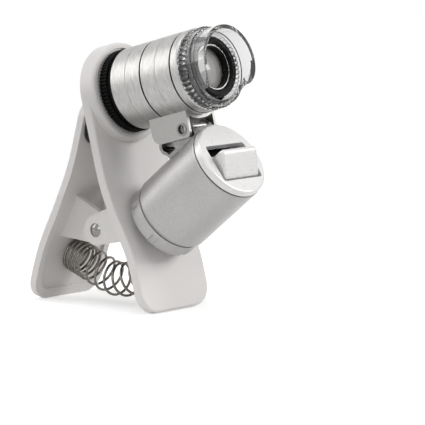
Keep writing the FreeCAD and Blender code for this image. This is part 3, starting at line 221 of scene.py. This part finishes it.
# oiled spring wire: drawn steel that the oil turns brown-grey in patches, a little uneven,
# which breaks its mirror
spring_steel = new_finish("oiled_spring_wire", Metallic=1.0)
tinted(spring_steel, patch_mm=0.5, dark="504D49", pale="96918A")
grain(spring_steel, size_mm=0.15, depth_mm=0.004)
handled(spring_steel, patch_mm=0.7, smooth=0.10, rough=0.20)

WIRE_RADIUS = 0.28 * MM
COIL_RADIUS = 3.5 * MM
TOUCHING_PITCH = 2.2 * WIRE_RADIUS
CLOSE_PITCH = 1.1 * MM
FIRST_TURNS = 1.0
OPEN_TURNS = 8.5
LAST_TURNS = 4.5
SEAT_CLEARANCE = 1.1 * WIRE_RADIUS
SEAT_PULL = 1.9
ROUTE_STEPS = 64
POINTS_ON_WIRE = 700
POINTS_ROUND_WIRE = 12

# where each handle holds the coil, and the way its seat faces
FRONT_SEAT = (Vector((0, -3.8986, 8.2622)) * MM, Vector((0, 0.96453, -0.26399)))
REAR_SEAT = (Vector((0, 23.0449, 9.4388)) * MM, Vector((0, -0.94068, -0.33930)))


def spring_tree():
    """Coils a wire round the curve it is given: touching turns, open turns, close turns."""
    tree = bpy.data.node_groups.new("coil_along_curve", "GeometryNodeTree")
    tree.interface.new_socket("Geometry", in_out="INPUT", socket_type="NodeSocketGeometry")
    for name in ("Coil Radius", "Wire Radius", "First Part", "Last Part", "First Turns",
                 "Open Turns", "Last Turns"):
        tree.interface.new_socket(name, in_out="INPUT", socket_type="NodeSocketFloat")
    tree.interface.new_socket("Material", in_out="INPUT", socket_type="NodeSocketMaterial")
    tree.interface.new_socket("Geometry", in_out="OUTPUT", socket_type="NodeSocketGeometry")
    given = add(tree, "NodeGroupInput")

    line = add(tree, "GeometryNodeResampleCurve", {"Count": POINTS_ON_WIRE},
               {"Curve": given["Geometry"]})
    along = add(tree, "GeometryNodeSplineParameter")["Factor"]
    tangent = add(tree, "GeometryNodeInputTangent")["Tangent"]

    # the turns that lie behind each point, added up over the three parts of the coil
    first_end = given["First Part"]
    last_start = add(tree, "ShaderNodeMath", {"operation": "SUBTRACT", 0: 1.0},
                     {1: given["Last Part"]})[0]
    limits = {"First Turns": {"From Max": first_end},
              "Open Turns": {"From Min": first_end, "From Max": last_start},
              "Last Turns": {"From Min": last_start}}
    laid = [add(tree, "ShaderNodeMapRange", None,
                {"Value": along, "To Max": given[turns], **part})["Result"]
            for turns, part in limits.items()]
    opened = add(tree, "ShaderNodeMath", {"operation": "ADD"}, {0: laid[0], 1: laid[1]})[0]
    turned = add(tree, "ShaderNodeMath", {"operation": "ADD"}, {0: opened, 1: laid[2]})[0]
    angle = add(tree, "ShaderNodeMath", {"operation": "MULTIPLY", 1: math.tau},
                {0: turned})[0]

    # each point moves out from the curve, aside and downwards by the angle's two parts
    aside = (1.0, 0.0, 0.0)
    down = add(tree, "ShaderNodeVectorMath", {"operation": "CROSS_PRODUCT", 1: aside},
               {0: tangent})[0]
    cosine = add(tree, "ShaderNodeMath", {"operation": "COSINE"}, {0: angle})[0]
    sine = add(tree, "ShaderNodeMath", {"operation": "SINE"}, {0: angle})[0]
    part_aside = add(tree, "ShaderNodeVectorMath", {"operation": "SCALE", 0: aside},
                     {"Scale": cosine})[0]
    part_down = add(tree, "ShaderNodeVectorMath", {"operation": "SCALE"},
                    {0: down, "Scale": sine})[0]
    outward = add(tree, "ShaderNodeVectorMath", {"operation": "ADD"},
                  {0: part_aside, 1: part_down})[0]
    offset = add(tree, "ShaderNodeVectorMath", {"operation": "SCALE"},
                 {0: outward, "Scale": given["Coil Radius"]})[0]
    coil = add(tree, "GeometryNodeSetPosition", None,
               {"Geometry": line["Curve"], "Offset": offset})

    section = add(tree, "GeometryNodeCurvePrimitiveCircle", {"Resolution": POINTS_ROUND_WIRE},
                  {"Radius": given["Wire Radius"]})
    wire = add(tree, "GeometryNodeCurveToMesh", {"Fill Caps": True},
               {"Curve": coil["Geometry"], "Profile Curve": section["Curve"]})
    real = add(tree, "GeometryNodeRealizeInstances", None, {"Geometry": wire["Mesh"]})
    done = add(tree, "GeometryNodeSetMaterial", None,
               {"Geometry": real["Geometry"], "Material": given["Material"]})
    add(tree, "NodeGroupOutput", None, {"Geometry": done["Geometry"]})
    return tree


def plain_piece(name, base):
    """Leaves what an object's modifiers make as a plain mesh piece in the object's place."""
    bpy.context.view_layer.update()
    graph = bpy.context.evaluated_depsgraph_get()
    mesh = bpy.data.meshes.new_from_object(base.evaluated_get(graph))
    mesh.shade_smooth()
    bpy.data.objects.remove(base)
    return put_in_scene(name, mesh)


def grown(name, base, tree, **inputs):
    """Runs a node tree on an object and leaves its result as a plain mesh piece."""
    modifier = base.modifiers.new(name, "NODES")
    modifier.node_group = tree
    for item in tree.interface.items_tree:
        key = item.name.replace(" ", "_")
        if item.in_out == "INPUT" and key in inputs:
            modifier[item.identifier] = inputs[key]
    return plain_piece(name, base)


# the coil's middle line leaves each seat squarely, so both ends draw it downwards
ends = [place + facing * SEAT_CLEARANCE for place, facing in (FRONT_SEAT, REAR_SEAT)]
chord = (ends[1] - ends[0]).length
pulls = [facing * SEAT_PULL * chord / 3 for _, facing in (FRONT_SEAT, REAR_SEAT)]
route = bpy.data.curves.new("spring_route", "CURVE")
route.dimensions = "3D"
spline = route.splines.new("BEZIER")
spline.bezier_points.add(1)
spline.resolution_u = ROUTE_STEPS
for point, end, ahead in zip(spline.bezier_points, ends, (pulls[0], -pulls[1])):
    point.handle_left_type = "FREE"
    point.handle_right_type = "FREE"
    point.co = end
    point.handle_left = end - ahead
    point.handle_right = end + ahead
length = spline.calc_length()
clip_coil = grown("clip_coil", put_in_scene("spring_route", route), spring_tree(),
                  Coil_Radius=COIL_RADIUS, Wire_Radius=WIRE_RADIUS,
                  First_Part=FIRST_TURNS * TOUCHING_PITCH / length,
                  Last_Part=LAST_TURNS * CLOSE_PITCH / length, First_Turns=FIRST_TURNS,
                  Open_Turns=OPEN_TURNS, Last_Turns=LAST_TURNS, Material=spring_steel)
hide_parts("clip_spring")
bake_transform(clip_coil)

# Barrel, ABS with a satin silver plating and the look of turned metal. Its deep grooves are
# darkened with painted shade, and its fine ones are painted paler, which lifts the shade in
# them.

# the microscope's own frame, with z forward along its optical axis, and the radii and
# heights at which the barrel's surface changes
SCOPE = {"Location": Vector((0.0, 8.619, 44.877)) * MM, "Rotation": (math.radians(75), 0.0, 0.0)}
GROOVE_SHADE_STARTS = 8.62 * MM
GROOVE_SHADE_FULL = 8.48 * MM
GROOVED_MIDDLE = 15.7 * MM
GROOVED_HALF = 7.5 * MM
FINE_GROOVE = 8.66 * MM
FINE_REACH = 0.075 * MM
STREAK = 1.6 * MM
STREAK_FLATNESS = 7.0


def in_frame(material, own):
    """The place in a frame of the object's own, given by its origin and its turn."""
    place = add(material.node_tree, "ShaderNodeTexCoord")["Object"]
    return add(material.node_tree, "ShaderNodeMapping", {"vector_type": "TEXTURE", **own},
               {"Vector": place})["Vector"]


def round_axis(material, local):
    """The radius from a frame's z axis, and the height along it."""
    tree = material.node_tree
    parts = add(tree, "ShaderNodeSeparateXYZ", None, {"Vector": local})
    flat = add(tree, "ShaderNodeCombineXYZ", None, {"X": parts["X"], "Y": parts["Y"]})
    radius = add(tree, "ShaderNodeVectorMath", {"operation": "LENGTH"}, {0: flat["Vector"]})
    return radius["Value"], parts["Z"]


def scored(material, lines, depth_mm, smooth, rough, strength=0.5):
    """Marks left by a tool: a relief and a gloss that follow the same pattern of lines."""
    tree = material.node_tree
    bump = add(tree, "ShaderNodeBump", {"Strength": strength, "Distance": depth_mm * MM},
               {"Height": lines})["Normal"]
    spread = add(tree, "ShaderNodeMapRange", {"From Min": NOISE_LOW, "From Max": NOISE_HIGH,
                                              "To Min": smooth, "To Max": rough},
                 {"Value": lines})["Result"]
    drive(material, Normal=bump, Roughness=spread)


def tool_rings(material, along, pitch_mm, depth_mm, smooth, rough):
    """Rings left by turning, which change only along the height or the radius."""
    rings = add(material.node_tree, "ShaderNodeTexNoise",
                {"noise_dimensions": "1D", "Detail": 4.0, "Scale": 1 / (pitch_mm * MM)},
                {"W": along})["Fac"]
    scored(material, rings, depth_mm, smooth, rough)


# satin plating: a soft mirror, streaked round the barrel by its tool lines, which are drawn
# coarser than the real ones so that they show
silver_plating = new_finish("satin_silver_plating", Metallic=1.0)
tree = silver_plating.node_tree
local = in_frame(silver_plating, SCOPE)
radius, height = round_axis(silver_plating, local)
tool_rings(silver_plating, height, pitch_mm=0.16, depth_mm=0.005, smooth=0.36, rough=0.50)
flattened = add(tree, "ShaderNodeMapping", {"Scale": (1.0, 1.0, STREAK_FLATNESS)},
                {"Vector": local})["Vector"]
streaks = add(tree, "ShaderNodeTexNoise", {"Scale": 1 / STREAK, "Detail": 6.0},
              {"Vector": flattened})["Fac"]
metal = add(tree, "ShaderNodeMix", {"data_type": "RGBA", COLOUR_A: colour("868583"),
                                    COLOUR_B: colour("D2D1CF")},
            {"Factor": streaks})[COLOUR_OUT]
grooved = add(tree, "ShaderNodeMath", {"operation": "COMPARE", 1: GROOVED_MIDDLE,
                                       2: GROOVED_HALF}, {0: height})[0]
# painted light: the fine grooves get a paler colour, which lifts the shade that falls in them
fine = add(tree, "ShaderNodeMath", {"operation": "COMPARE", 1: FINE_GROOVE, 2: FINE_REACH},
           {0: radius})[0]
fine_groove_light = add(tree, "ShaderNodeMath", {"operation": "MULTIPLY"}, {0: fine, 1: grooved})[0]
bright = add(tree, "ShaderNodeMix", {"data_type": "RGBA", COLOUR_B: colour("CFCECC")},
             {"Factor": fine_groove_light, COLOUR_A: metal})[COLOUR_OUT]
# painted shade: the colour darkens to near black deep in the grooves, where shade falls
depth = add(tree, "ShaderNodeMapRange", {"From Min": GROOVE_SHADE_STARTS, "From Max": GROOVE_SHADE_FULL},
            {"Value": radius})["Result"]
groove_shade = add(tree, "ShaderNodeMath", {"operation": "MULTIPLY"}, {0: depth, 1: grooved})[0]
with_groove_shade = add(tree, "ShaderNodeMix", {"data_type": "RGBA", COLOUR_B: colour("1E1C1A")},
             {"Factor": groove_shade, COLOUR_A: bright})[COLOUR_OUT]
drive(silver_plating, Base_Color=with_groove_shade)
dress(silver_plating, "barrel")

# Focus wheel, moulded in black ABS with 72 fine ribs for the finger. Through it and the
# barrel runs the lens tube of the same plastic, which slides to focus. The two holders
# inside the lamp pod are moulded in it too.

# dull black ABS: hardly any mirror, so the ribs show by their soft grey edges alone
black_abs = new_finish("dull_black_abs", IOR=1.5, Specular_IOR_Level=0.14)
tinted(black_abs, patch_mm=2.0, dark="030303", pale="070707")
grain(black_abs, size_mm=0.12, depth_mm=0.01)
handled(black_abs, patch_mm=2.0, smooth=0.50, rough=0.70)
dress(black_abs, "focus_wheel", "lens_tube", "led_holder", "battery_holder")

# Objective cell, of the same black plastic but from a polished mould. It fits over the
# front of the lens tube and is seen through the clear nose.

# polished black ABS: near black, with narrow, faint highlights along its cylinder
glossy_black = new_finish("polished_black_abs", IOR=1.54, Specular_IOR_Level=0.08)
tinted(glossy_black, patch_mm=3.0, dark="080808", pale="0F0F0F")
handled(glossy_black, patch_mm=1.5, smooth=0.14, rough=0.26)
dress(glossy_black, "objective_cell")

# Both lenses, moulded in optical acrylic and coated. The eyepiece sits in the rear end of
# the lens tube, the objective in the black cell at its front.

# coated acrylic: clear, but the thin coating leaves it slightly milky from the side
coated_acrylic = new_finish("coated_lens_acrylic", Base_Color=colour("D9D8D5"), IOR=1.49,
                            Transmission_Weight=0.46)
handled(coated_acrylic, patch_mm=2.5, smooth=0.01, rough=0.05)
dress(coated_acrylic, "eyepiece_lens", "objective_lens")

# Retaining ring, turned from aluminium, anodised black and pressed in over the lens. A
# narrow pale band round its front face is a painted highlight, for the bright arc on its rim.

# radius and half width of the painted highlight band on the ring's front face
HIGHLIGHT_BAND = 4.66 * MM
HIGHLIGHT_HALF = 0.12 * MM
RING_FACE = 26.4 * MM

# anodised aluminium: a dark mirror, whose rings draw a bright arc where a lamp strikes
anodised_ring = new_finish("black_anodised_aluminium", Metallic=0.8)
tree = anodised_ring.node_tree
radius, height = round_axis(anodised_ring, in_frame(anodised_ring, SCOPE))
tool_rings(anodised_ring, radius, pitch_mm=0.08, depth_mm=0.004, smooth=0.12, rough=0.28)
# painted highlight: a narrow pale band round the front face stands in for the ring's bright arc
# of light
highlight_ring_mask = add(tree, "ShaderNodeMath", {"operation": "COMPARE", 1: HIGHLIGHT_BAND, 2: HIGHLIGHT_HALF},
           {0: radius})[0]
face = add(tree, "ShaderNodeMath", {"operation": "GREATER_THAN", 1: RING_FACE}, {0: height})[0]
painted_highlight = add(tree, "ShaderNodeMath", {"operation": "MULTIPLY"}, {0: highlight_ring_mask, 1: face})[0]
face_with_highlight = add(tree, "ShaderNodeMix", {"data_type": "RGBA", COLOUR_A: colour("2A2827"),
                                          COLOUR_B: colour("A3A19F")},
                  {"Factor": painted_highlight})[COLOUR_OUT]
drive(anodised_ring, Base_Color=face_with_highlight)
dress(anodised_ring, "lens_retaining_ring")

# Nose shroud, one clear acrylic moulding with ribs for grip round it and an open side. It
# lets light in to the specimen. Its bore is frosted behind, where it spreads the light.

BORE_WALL = 7.13 * MM
FROST_END = 27.2 * MM
FROSTED_ROUGHNESS = 0.3
CLEAR_ROUGHNESS = 0.04
RIPPLE = 3.0 * MM

# a Mix node's plain number sockets, which go by number as its colours do
NUMBER_A = 2
NUMBER_B = 3
NUMBER_OUT = 0

# clear acrylic: glossy, with ribs that bend what lies behind them and a slow, shallow
# ripple from the mould
clear_acrylic = new_finish("clear_moulded_acrylic", Base_Color=colour("F6F5F5"), IOR=1.49,
                           Transmission_Weight=0.98)
tree = clear_acrylic.node_tree
grain(clear_acrylic, size_mm=2.2, depth_mm=0.03, detail=1.0, strength=0.25)
place = add(tree, "ShaderNodeTexCoord")["Object"]
ripple = add(tree, "ShaderNodeTexNoise", {"Scale": 1 / RIPPLE, "Detail": 2.0},
             {"Vector": place})["Fac"]
polish = add(tree, "ShaderNodeMapRange", {"To Min": 0.0, "To Max": CLEAR_ROUGHNESS},
             {"Value": ripple})["Result"]
radius, height = round_axis(clear_acrylic, in_frame(clear_acrylic, SCOPE))
within = add(tree, "ShaderNodeMath", {"operation": "LESS_THAN", 1: BORE_WALL}, {0: radius})[0]
behind = add(tree, "ShaderNodeMath", {"operation": "LESS_THAN", 1: FROST_END}, {0: height})[0]
frost = add(tree, "ShaderNodeMath", {"operation": "MULTIPLY"}, {0: within, 1: behind})[0]
gloss = add(tree, "ShaderNodeMix", {"data_type": "FLOAT", NUMBER_B: FROSTED_ROUGHNESS},
            {"Factor": frost, NUMBER_A: polish})[NUMBER_OUT]
drive(clear_acrylic, Roughness=gloss)
dress(clear_acrylic, "nose_shroud")

# Brackets of the folding joint, pressed from sheet steel and nickel-plated after bending,
# and the tubular rivet they turn on, whose ends are flared over the outer ears.

# the pod's own frame: its origin in the middle of the front cap's face, x across, z forward
POD = {"Location": Vector((0.0, -21.8562, 33.2514)) * MM,
       "Rotation": (math.radians(51.6), 0.0, 0.0)}


def brushed(material, stretch, line_mm, depth_mm, smooth, rough, strength):
    """Lines along one way of the pod's frame: a noise that a small scale draws out."""
    tree = material.node_tree
    drawn = add(tree, "ShaderNodeMapping", {"Scale": stretch},
                {"Vector": in_frame(material, POD)})["Vector"]
    lines = add(tree, "ShaderNodeTexNoise", {"Scale": 1 / (line_mm * MM), "Detail": 3.0},
                {"Vector": drawn})["Fac"]
    scored(material, lines, depth_mm, smooth, rough, strength)


# nickel-plated sheet: a soft mirror with rolling lines along it, drawn coarser than the
# real ones so that they show
nickel_sheet = new_finish("nickel_plated_sheet", Base_Color=colour("A5A4A2"), Metallic=1.0)
brushed(nickel_sheet, stretch=(1.0, 1.0, 0.06), line_mm=0.12, depth_mm=0.006, smooth=0.24,
        rough=0.42, strength=0.4)
dress(nickel_sheet, "scope_bracket")

# burnished sheet: the pod's own bracket was rolled round the hinge, which left it smoother,
# darker and marked in patches
burnished_sheet = new_finish("burnished_nickel_sheet", Metallic=1.0)
tinted(burnished_sheet, patch_mm=0.6, dark="6E6C6A", pale="AAA8A6")
grain(burnished_sheet, size_mm=0.4, depth_mm=0.02)
handled(burnished_sheet, patch_mm=1.0, smooth=0.14, rough=0.30)
dress(burnished_sheet, "pod_bracket")

# rivet steel: plated bright, but the wall of its bore has painted shade, near black, for the
# shadow inside the bore, and the lip round it is coloured a darker grey
BORE_DEEP = 1.0 * MM
LIP_DEEP = 0.04 * MM
rivet_end = max(vertex.co.x for vertex in nodes["bracket_pin"].data.vertices)
rivet_steel = new_finish("plated_rivet_steel", Metallic=0.85)
tree = rivet_steel.node_tree
grain(rivet_steel, size_mm=0.3, depth_mm=0.006)
handled(rivet_steel, patch_mm=0.8, smooth=0.24, rough=0.38)
place = add(tree, "ShaderNodeTexCoord")["Object"]
parts = add(tree, "ShaderNodeSeparateXYZ", None, {"Vector": place})
outwards = add(tree, "ShaderNodeMath", {"operation": "ABSOLUTE"}, {0: parts["X"]})[0]
lip = add(tree, "ShaderNodeMath", {"operation": "GREATER_THAN", 1: rivet_end - LIP_DEEP},
          {0: outwards})[0]
# painted shade: the bore's wall is coloured near black, for the shadow that falls inside the
# bore
wall = add(tree, "ShaderNodeMath", {"operation": "COMPARE", 1: rivet_end - BORE_DEEP / 2,
                                    2: BORE_DEEP / 2 - LIP_DEEP}, {0: outwards})[0]
darker_lip = add(tree, "ShaderNodeMix", {"data_type": "RGBA", COLOUR_A: colour("F0EFED"),
                                   COLOUR_B: colour("8F8D8B")}, {"Factor": lip})[COLOUR_OUT]
painted_bore_shade = add(tree, "ShaderNodeMix", {"data_type": "RGBA", COLOUR_B: colour("1F1D1B")},
           {"Factor": wall, COLOUR_A: darker_lip})[COLOUR_OUT]
drive(rivet_steel, Base_Color=painted_bore_shade)
dress(rivet_steel, "bracket_pin")

# Pod shell and battery cap, moulded in ABS and sprayed with a silver lacquer. The shell
# holds the lamps and the cells, and the cap comes off to change the cells.

# silver lacquer: its flakes, drawn coarser than the real ones, give a close speckle, and
# the clear coat over them a soft second gloss
silver_lacquer = new_finish("fine_silver_lacquer", Metallic=0.75, Coat_Weight=0.25,
                            Coat_Roughness=0.3)
tinted(silver_lacquer, patch_mm=0.2, dark="8F8D8C", pale="C4C2C1")
grain(silver_lacquer, size_mm=0.12, depth_mm=0.010)
handled(silver_lacquer, patch_mm=5.0, smooth=0.38, rough=0.48)
dress(silver_lacquer, "pod_shell", "battery_cap")

# Front cap of the pod, moulded in ABS with a slot for the switch, plated a paler silver
# than the barrel and brushed straight across.

# pale plating: nearly white, with broad soft highlights that are broken up by its brush
# lines, which are drawn coarser than the real ones
pale_plating = new_finish("pale_silver_plating", Metallic=0.4)
tinted(pale_plating, patch_mm=0.25, dark="D8D7D6", pale="EAE9E8")
brushed(pale_plating, stretch=(0.07, 1.0, 1.0), line_mm=0.14, depth_mm=0.006, smooth=0.26,
        rough=0.42, strength=0.5)
dress(pale_plating, "pod_front_cap")

# Knob of the switch slider, moulded with every edge well rounded for the thumb and plated
# with the cap. Its form is the slider's solid with its edges smoothed down.

MERGE_WITHIN = 0.001 * MM
VOXEL = 0.14 * MM
SOFTENING = 0.5
SOFTENING_ROUNDS = 28
knob_mesh = nodes["switch_slider"].data.copy()
form = bmesh.new()
form.from_mesh(knob_mesh)
bmesh.ops.remove_doubles(form, verts=form.verts, dist=MERGE_WITHIN)
form.to_mesh(knob_mesh)
form.free()
knob_base = put_in_scene("knob_base", knob_mesh)
voxels = knob_base.modifiers.new("voxels", "REMESH")
voxels.mode = "VOXEL"
voxels.voxel_size = VOXEL
soften = knob_base.modifiers.new("soften", "SMOOTH")
soften.factor = SOFTENING
soften.iterations = SOFTENING_ROUNDS
slider_knob = plain_piece("slider_knob", knob_base)
slider_knob.data.materials.clear()
slider_knob.data.materials.append(pale_plating)
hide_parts("switch_slider")
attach(slider_knob, "lamp_switch")

# Seal between shell and battery cap, a moulded ring of grey silicone that fills the seam
# between the two.

# silicone: soft and even, with a slight sheen
seal_silicone = new_finish("grey_seal_silicone", Base_Color=colour("A5A3A1"), IOR=1.43)
grain(seal_silicone, size_mm=0.2, depth_mm=0.006)
handled(seal_silicone, patch_mm=1.5, smooth=0.5, rough=0.7)
dress(seal_silicone, "o_ring")

# Two lamps behind the pod's front cap, one white and one for ultraviolet light. Their
# domes are cast in clear epoxy, the second one faintly violet.

for node, name, tint in (("white_led", "clear_cast_epoxy", "F0F0F4"),
                         ("uv_led", "violet_cast_epoxy", "CFC2EC")):
    # cast epoxy: clear and glossy, as it comes out of a polished cup
    epoxy = new_finish(name, Base_Color=colour(tint), IOR=1.53, Transmission_Weight=0.9)
    handled(epoxy, patch_mm=1.0, smooth=0.02, rough=0.10)
    dress(epoxy, node)

# Circuit board behind the lamps, cut from glass-fibre laminate and covered with a green
# solder mask.

# solder mask: half gloss, and mottled by the laminate under it
board_mask = new_finish("green_solder_mask", IOR=1.55)
tinted(board_mask, patch_mm=0.4, dark="174C2A", pale="22683B")
grain(board_mask, size_mm=0.3, depth_mm=0.01)
handled(board_mask, patch_mm=2.0, smooth=0.28, rough=0.42)
dress(board_mask, "circuit_board")

# Three button cells in pressed nickel-plated cans, and the coiled wire spring that
# presses them together.

# plated can: a bright mirror, slightly uneven from the press
cell_can = new_finish("nickel_cell_can", Base_Color=colour("C4C3C0"), Metallic=1.0)
grain(cell_can, size_mm=0.5, depth_mm=0.004)
handled(cell_can, patch_mm=1.5, smooth=0.14, rough=0.30)
dress(cell_can, "button_cell_1", "button_cell_2", "button_cell_3")

# contact wire: bright and faintly yellow, slightly uneven from drawing
contact_wire = new_finish("bright_contact_wire", Base_Color=colour("BDBAB2"), Metallic=1.0)
grain(contact_wire, size_mm=0.2, depth_mm=0.004)
handled(contact_wire, patch_mm=0.8, smooth=0.16, rough=0.30)
dress(contact_wire, "contact_spring")

# Pale table top that the two handle ends stand on. Near the object it is matt and keeps
# the shadow; further out it fades into the white of the room, as a lit sweep does.

HALF_TABLE = 0.8
NEAR_OBJECT = 0.05
WHITE_BEYOND = 0.16
TABLE_GLOW = 0.42
table_mesh = bpy.data.meshes.new("table_top")
table_mesh.from_pydata([(-HALF_TABLE, -HALF_TABLE, 0), (HALF_TABLE, -HALF_TABLE, 0),
                        (HALF_TABLE, HALF_TABLE, 0), (-HALF_TABLE, HALF_TABLE, 0)],
                       [], [(0, 1, 2, 3)])
table_top = put_in_scene("table_top", table_mesh)


def seen(tree):
    """One where the camera looks, also by way of metal or clear plastic, otherwise zero."""
    path = add(tree, "ShaderNodeLightPath")
    straight = add(tree, "ShaderNodeMath", {"operation": "MAXIMUM"},
                   {0: path["Is Camera Ray"], 1: path["Is Transmission Ray"]})[0]
    return add(tree, "ShaderNodeMath", {"operation": "MAXIMUM"},
               {0: straight, 1: path["Is Glossy Ray"]})[0]


# matt table: it glows a little where the camera sees it, so that it is nearly white and
# its shadow stays faint
pale_table = new_finish("pale_matt_table", Base_Color=colour("ECECEC"), Roughness=0.85)
tree = pale_table.node_tree
place = add(tree, "ShaderNodeTexCoord")["Object"]
distance = add(tree, "ShaderNodeVectorMath", {"operation": "LENGTH"}, {0: place})["Value"]
fade = add(tree, "ShaderNodeMapRange", {"interpolation_type": "SMOOTHSTEP",
                                        "From Min": NEAR_OBJECT, "From Max": WHITE_BEYOND},
           {"Value": distance})["Result"]
looked_at = seen(tree)
glow = add(tree, "ShaderNodeMath", {"operation": "MULTIPLY", 1: TABLE_GLOW}, {0: looked_at})[0]
lift = add(tree, "ShaderNodeEmission", None, {"Strength": glow})[0]
matt = tree.nodes["Principled BSDF"].outputs[0]
near = add(tree, "ShaderNodeAddShader", None, {0: matt, 1: lift})[0]
away = add(tree, "ShaderNodeEmission", None, {"Strength": looked_at})[0]
blend = add(tree, "ShaderNodeMixShader", None, {"Fac": fade, 1: near, 2: away})[0]
tree.links.new(blend, tree.nodes["Material Output"].inputs["Surface"])
table_mesh.materials.append(pale_table)

# White room round the table. The camera, the metal and the clear plastic see it white,
# and matt surfaces get a softer share of it, so the lamps model them.

ROOM_FILL = 0.38
room = bpy.data.worlds.new("white_room")
room.use_nodes = True
background = room.node_tree.nodes["Background"]
background.inputs["Color"].default_value = colour("FFFFFF")
level = add(room.node_tree, "ShaderNodeMapRange", {"To Min": ROOM_FILL, "To Max": 1.0},
            {"Value": seen(room.node_tree)})["Result"]
room.node_tree.links.new(level, background.inputs["Strength"])
bpy.context.scene.world = room

# Four softboxes: the key to the right of the camera, so the pod shades the jaw on its
# left, a weaker one at the left, one overhead for the rims, and one behind, which draws
# the bright band along the barrel and the pod.

OBJECT_MIDDLE = Vector((0.0, 0.0, 0.03))


def softbox(name, spot, width, height, power):
    """A lamp with a cloth front of this size in metres, aimed at the object's middle."""
    lamp = bpy.data.lights.new(name, "AREA")
    lamp.shape = "RECTANGLE"
    lamp.size = width
    lamp.size_y = height
    lamp.energy = power
    holder = put_in_scene(name, lamp)
    holder.location = spot
    holder.rotation_euler = (OBJECT_MIDDLE - Vector(spot)).to_track_quat("-Z", "Y").to_euler()
    holder.visible_camera = False


softbox("key_softbox", spot=(0.30, -0.42, 0.30), width=0.26, height=0.24, power=1.4)
softbox("side_softbox", spot=(-0.46, -0.16, 0.22), width=0.24, height=0.22, power=0.36)
softbox("top_softbox", spot=(-0.08, 0.02, 0.48), width=0.34, height=0.22, power=0.7)
softbox("back_softbox", spot=(-0.26, 0.42, 0.27), width=0.40, height=0.30, power=0.74)

# The camera stands where the photograph was taken from: to the left of the front, a
# little above level, far back with a long lens.

# where it stands and how long its lens is, in pixels of its frame, as fitted to the picture
AZIMUTH = math.radians(-49.53)
ELEVATION = math.radians(7.49)
FAR_MM = 600
FOCAL_PIXELS = 2838.56
FRAME_PIXELS = 425
SENSOR_MM = 36

# a point of the barrel, and how far it lies left of and above the middle of the picture
VIEWED_MM = Vector((0, 8.139, 45.007))
VIEWED_LEFT_MM = 18.81
VIEWED_ABOVE_MM = 25.37

right = Vector((math.cos(AZIMUTH), math.sin(AZIMUTH), 0))
back = Vector((math.sin(AZIMUTH) * math.cos(ELEVATION),
               -math.cos(AZIMUTH) * math.cos(ELEVATION), math.sin(ELEVATION)))
up = back.cross(right)
target = VIEWED_MM + right * VIEWED_LEFT_MM - up * VIEWED_ABOVE_MM
stand = (target + back * FAR_MM) * MM
lens = bpy.data.cameras.new("photo_camera")
lens.lens = SENSOR_MM * FOCAL_PIXELS / FRAME_PIXELS
lens.clip_start = 0.05
lens.clip_end = 5
camera = put_in_scene("photo_camera", lens)
camera.matrix_world = Matrix.Translation(stand) @ Matrix((right, up, back)).transposed().to_4x4()
bpy.context.scene.camera = camera
bpy.context.scene.view_settings.view_transform = "Standard"
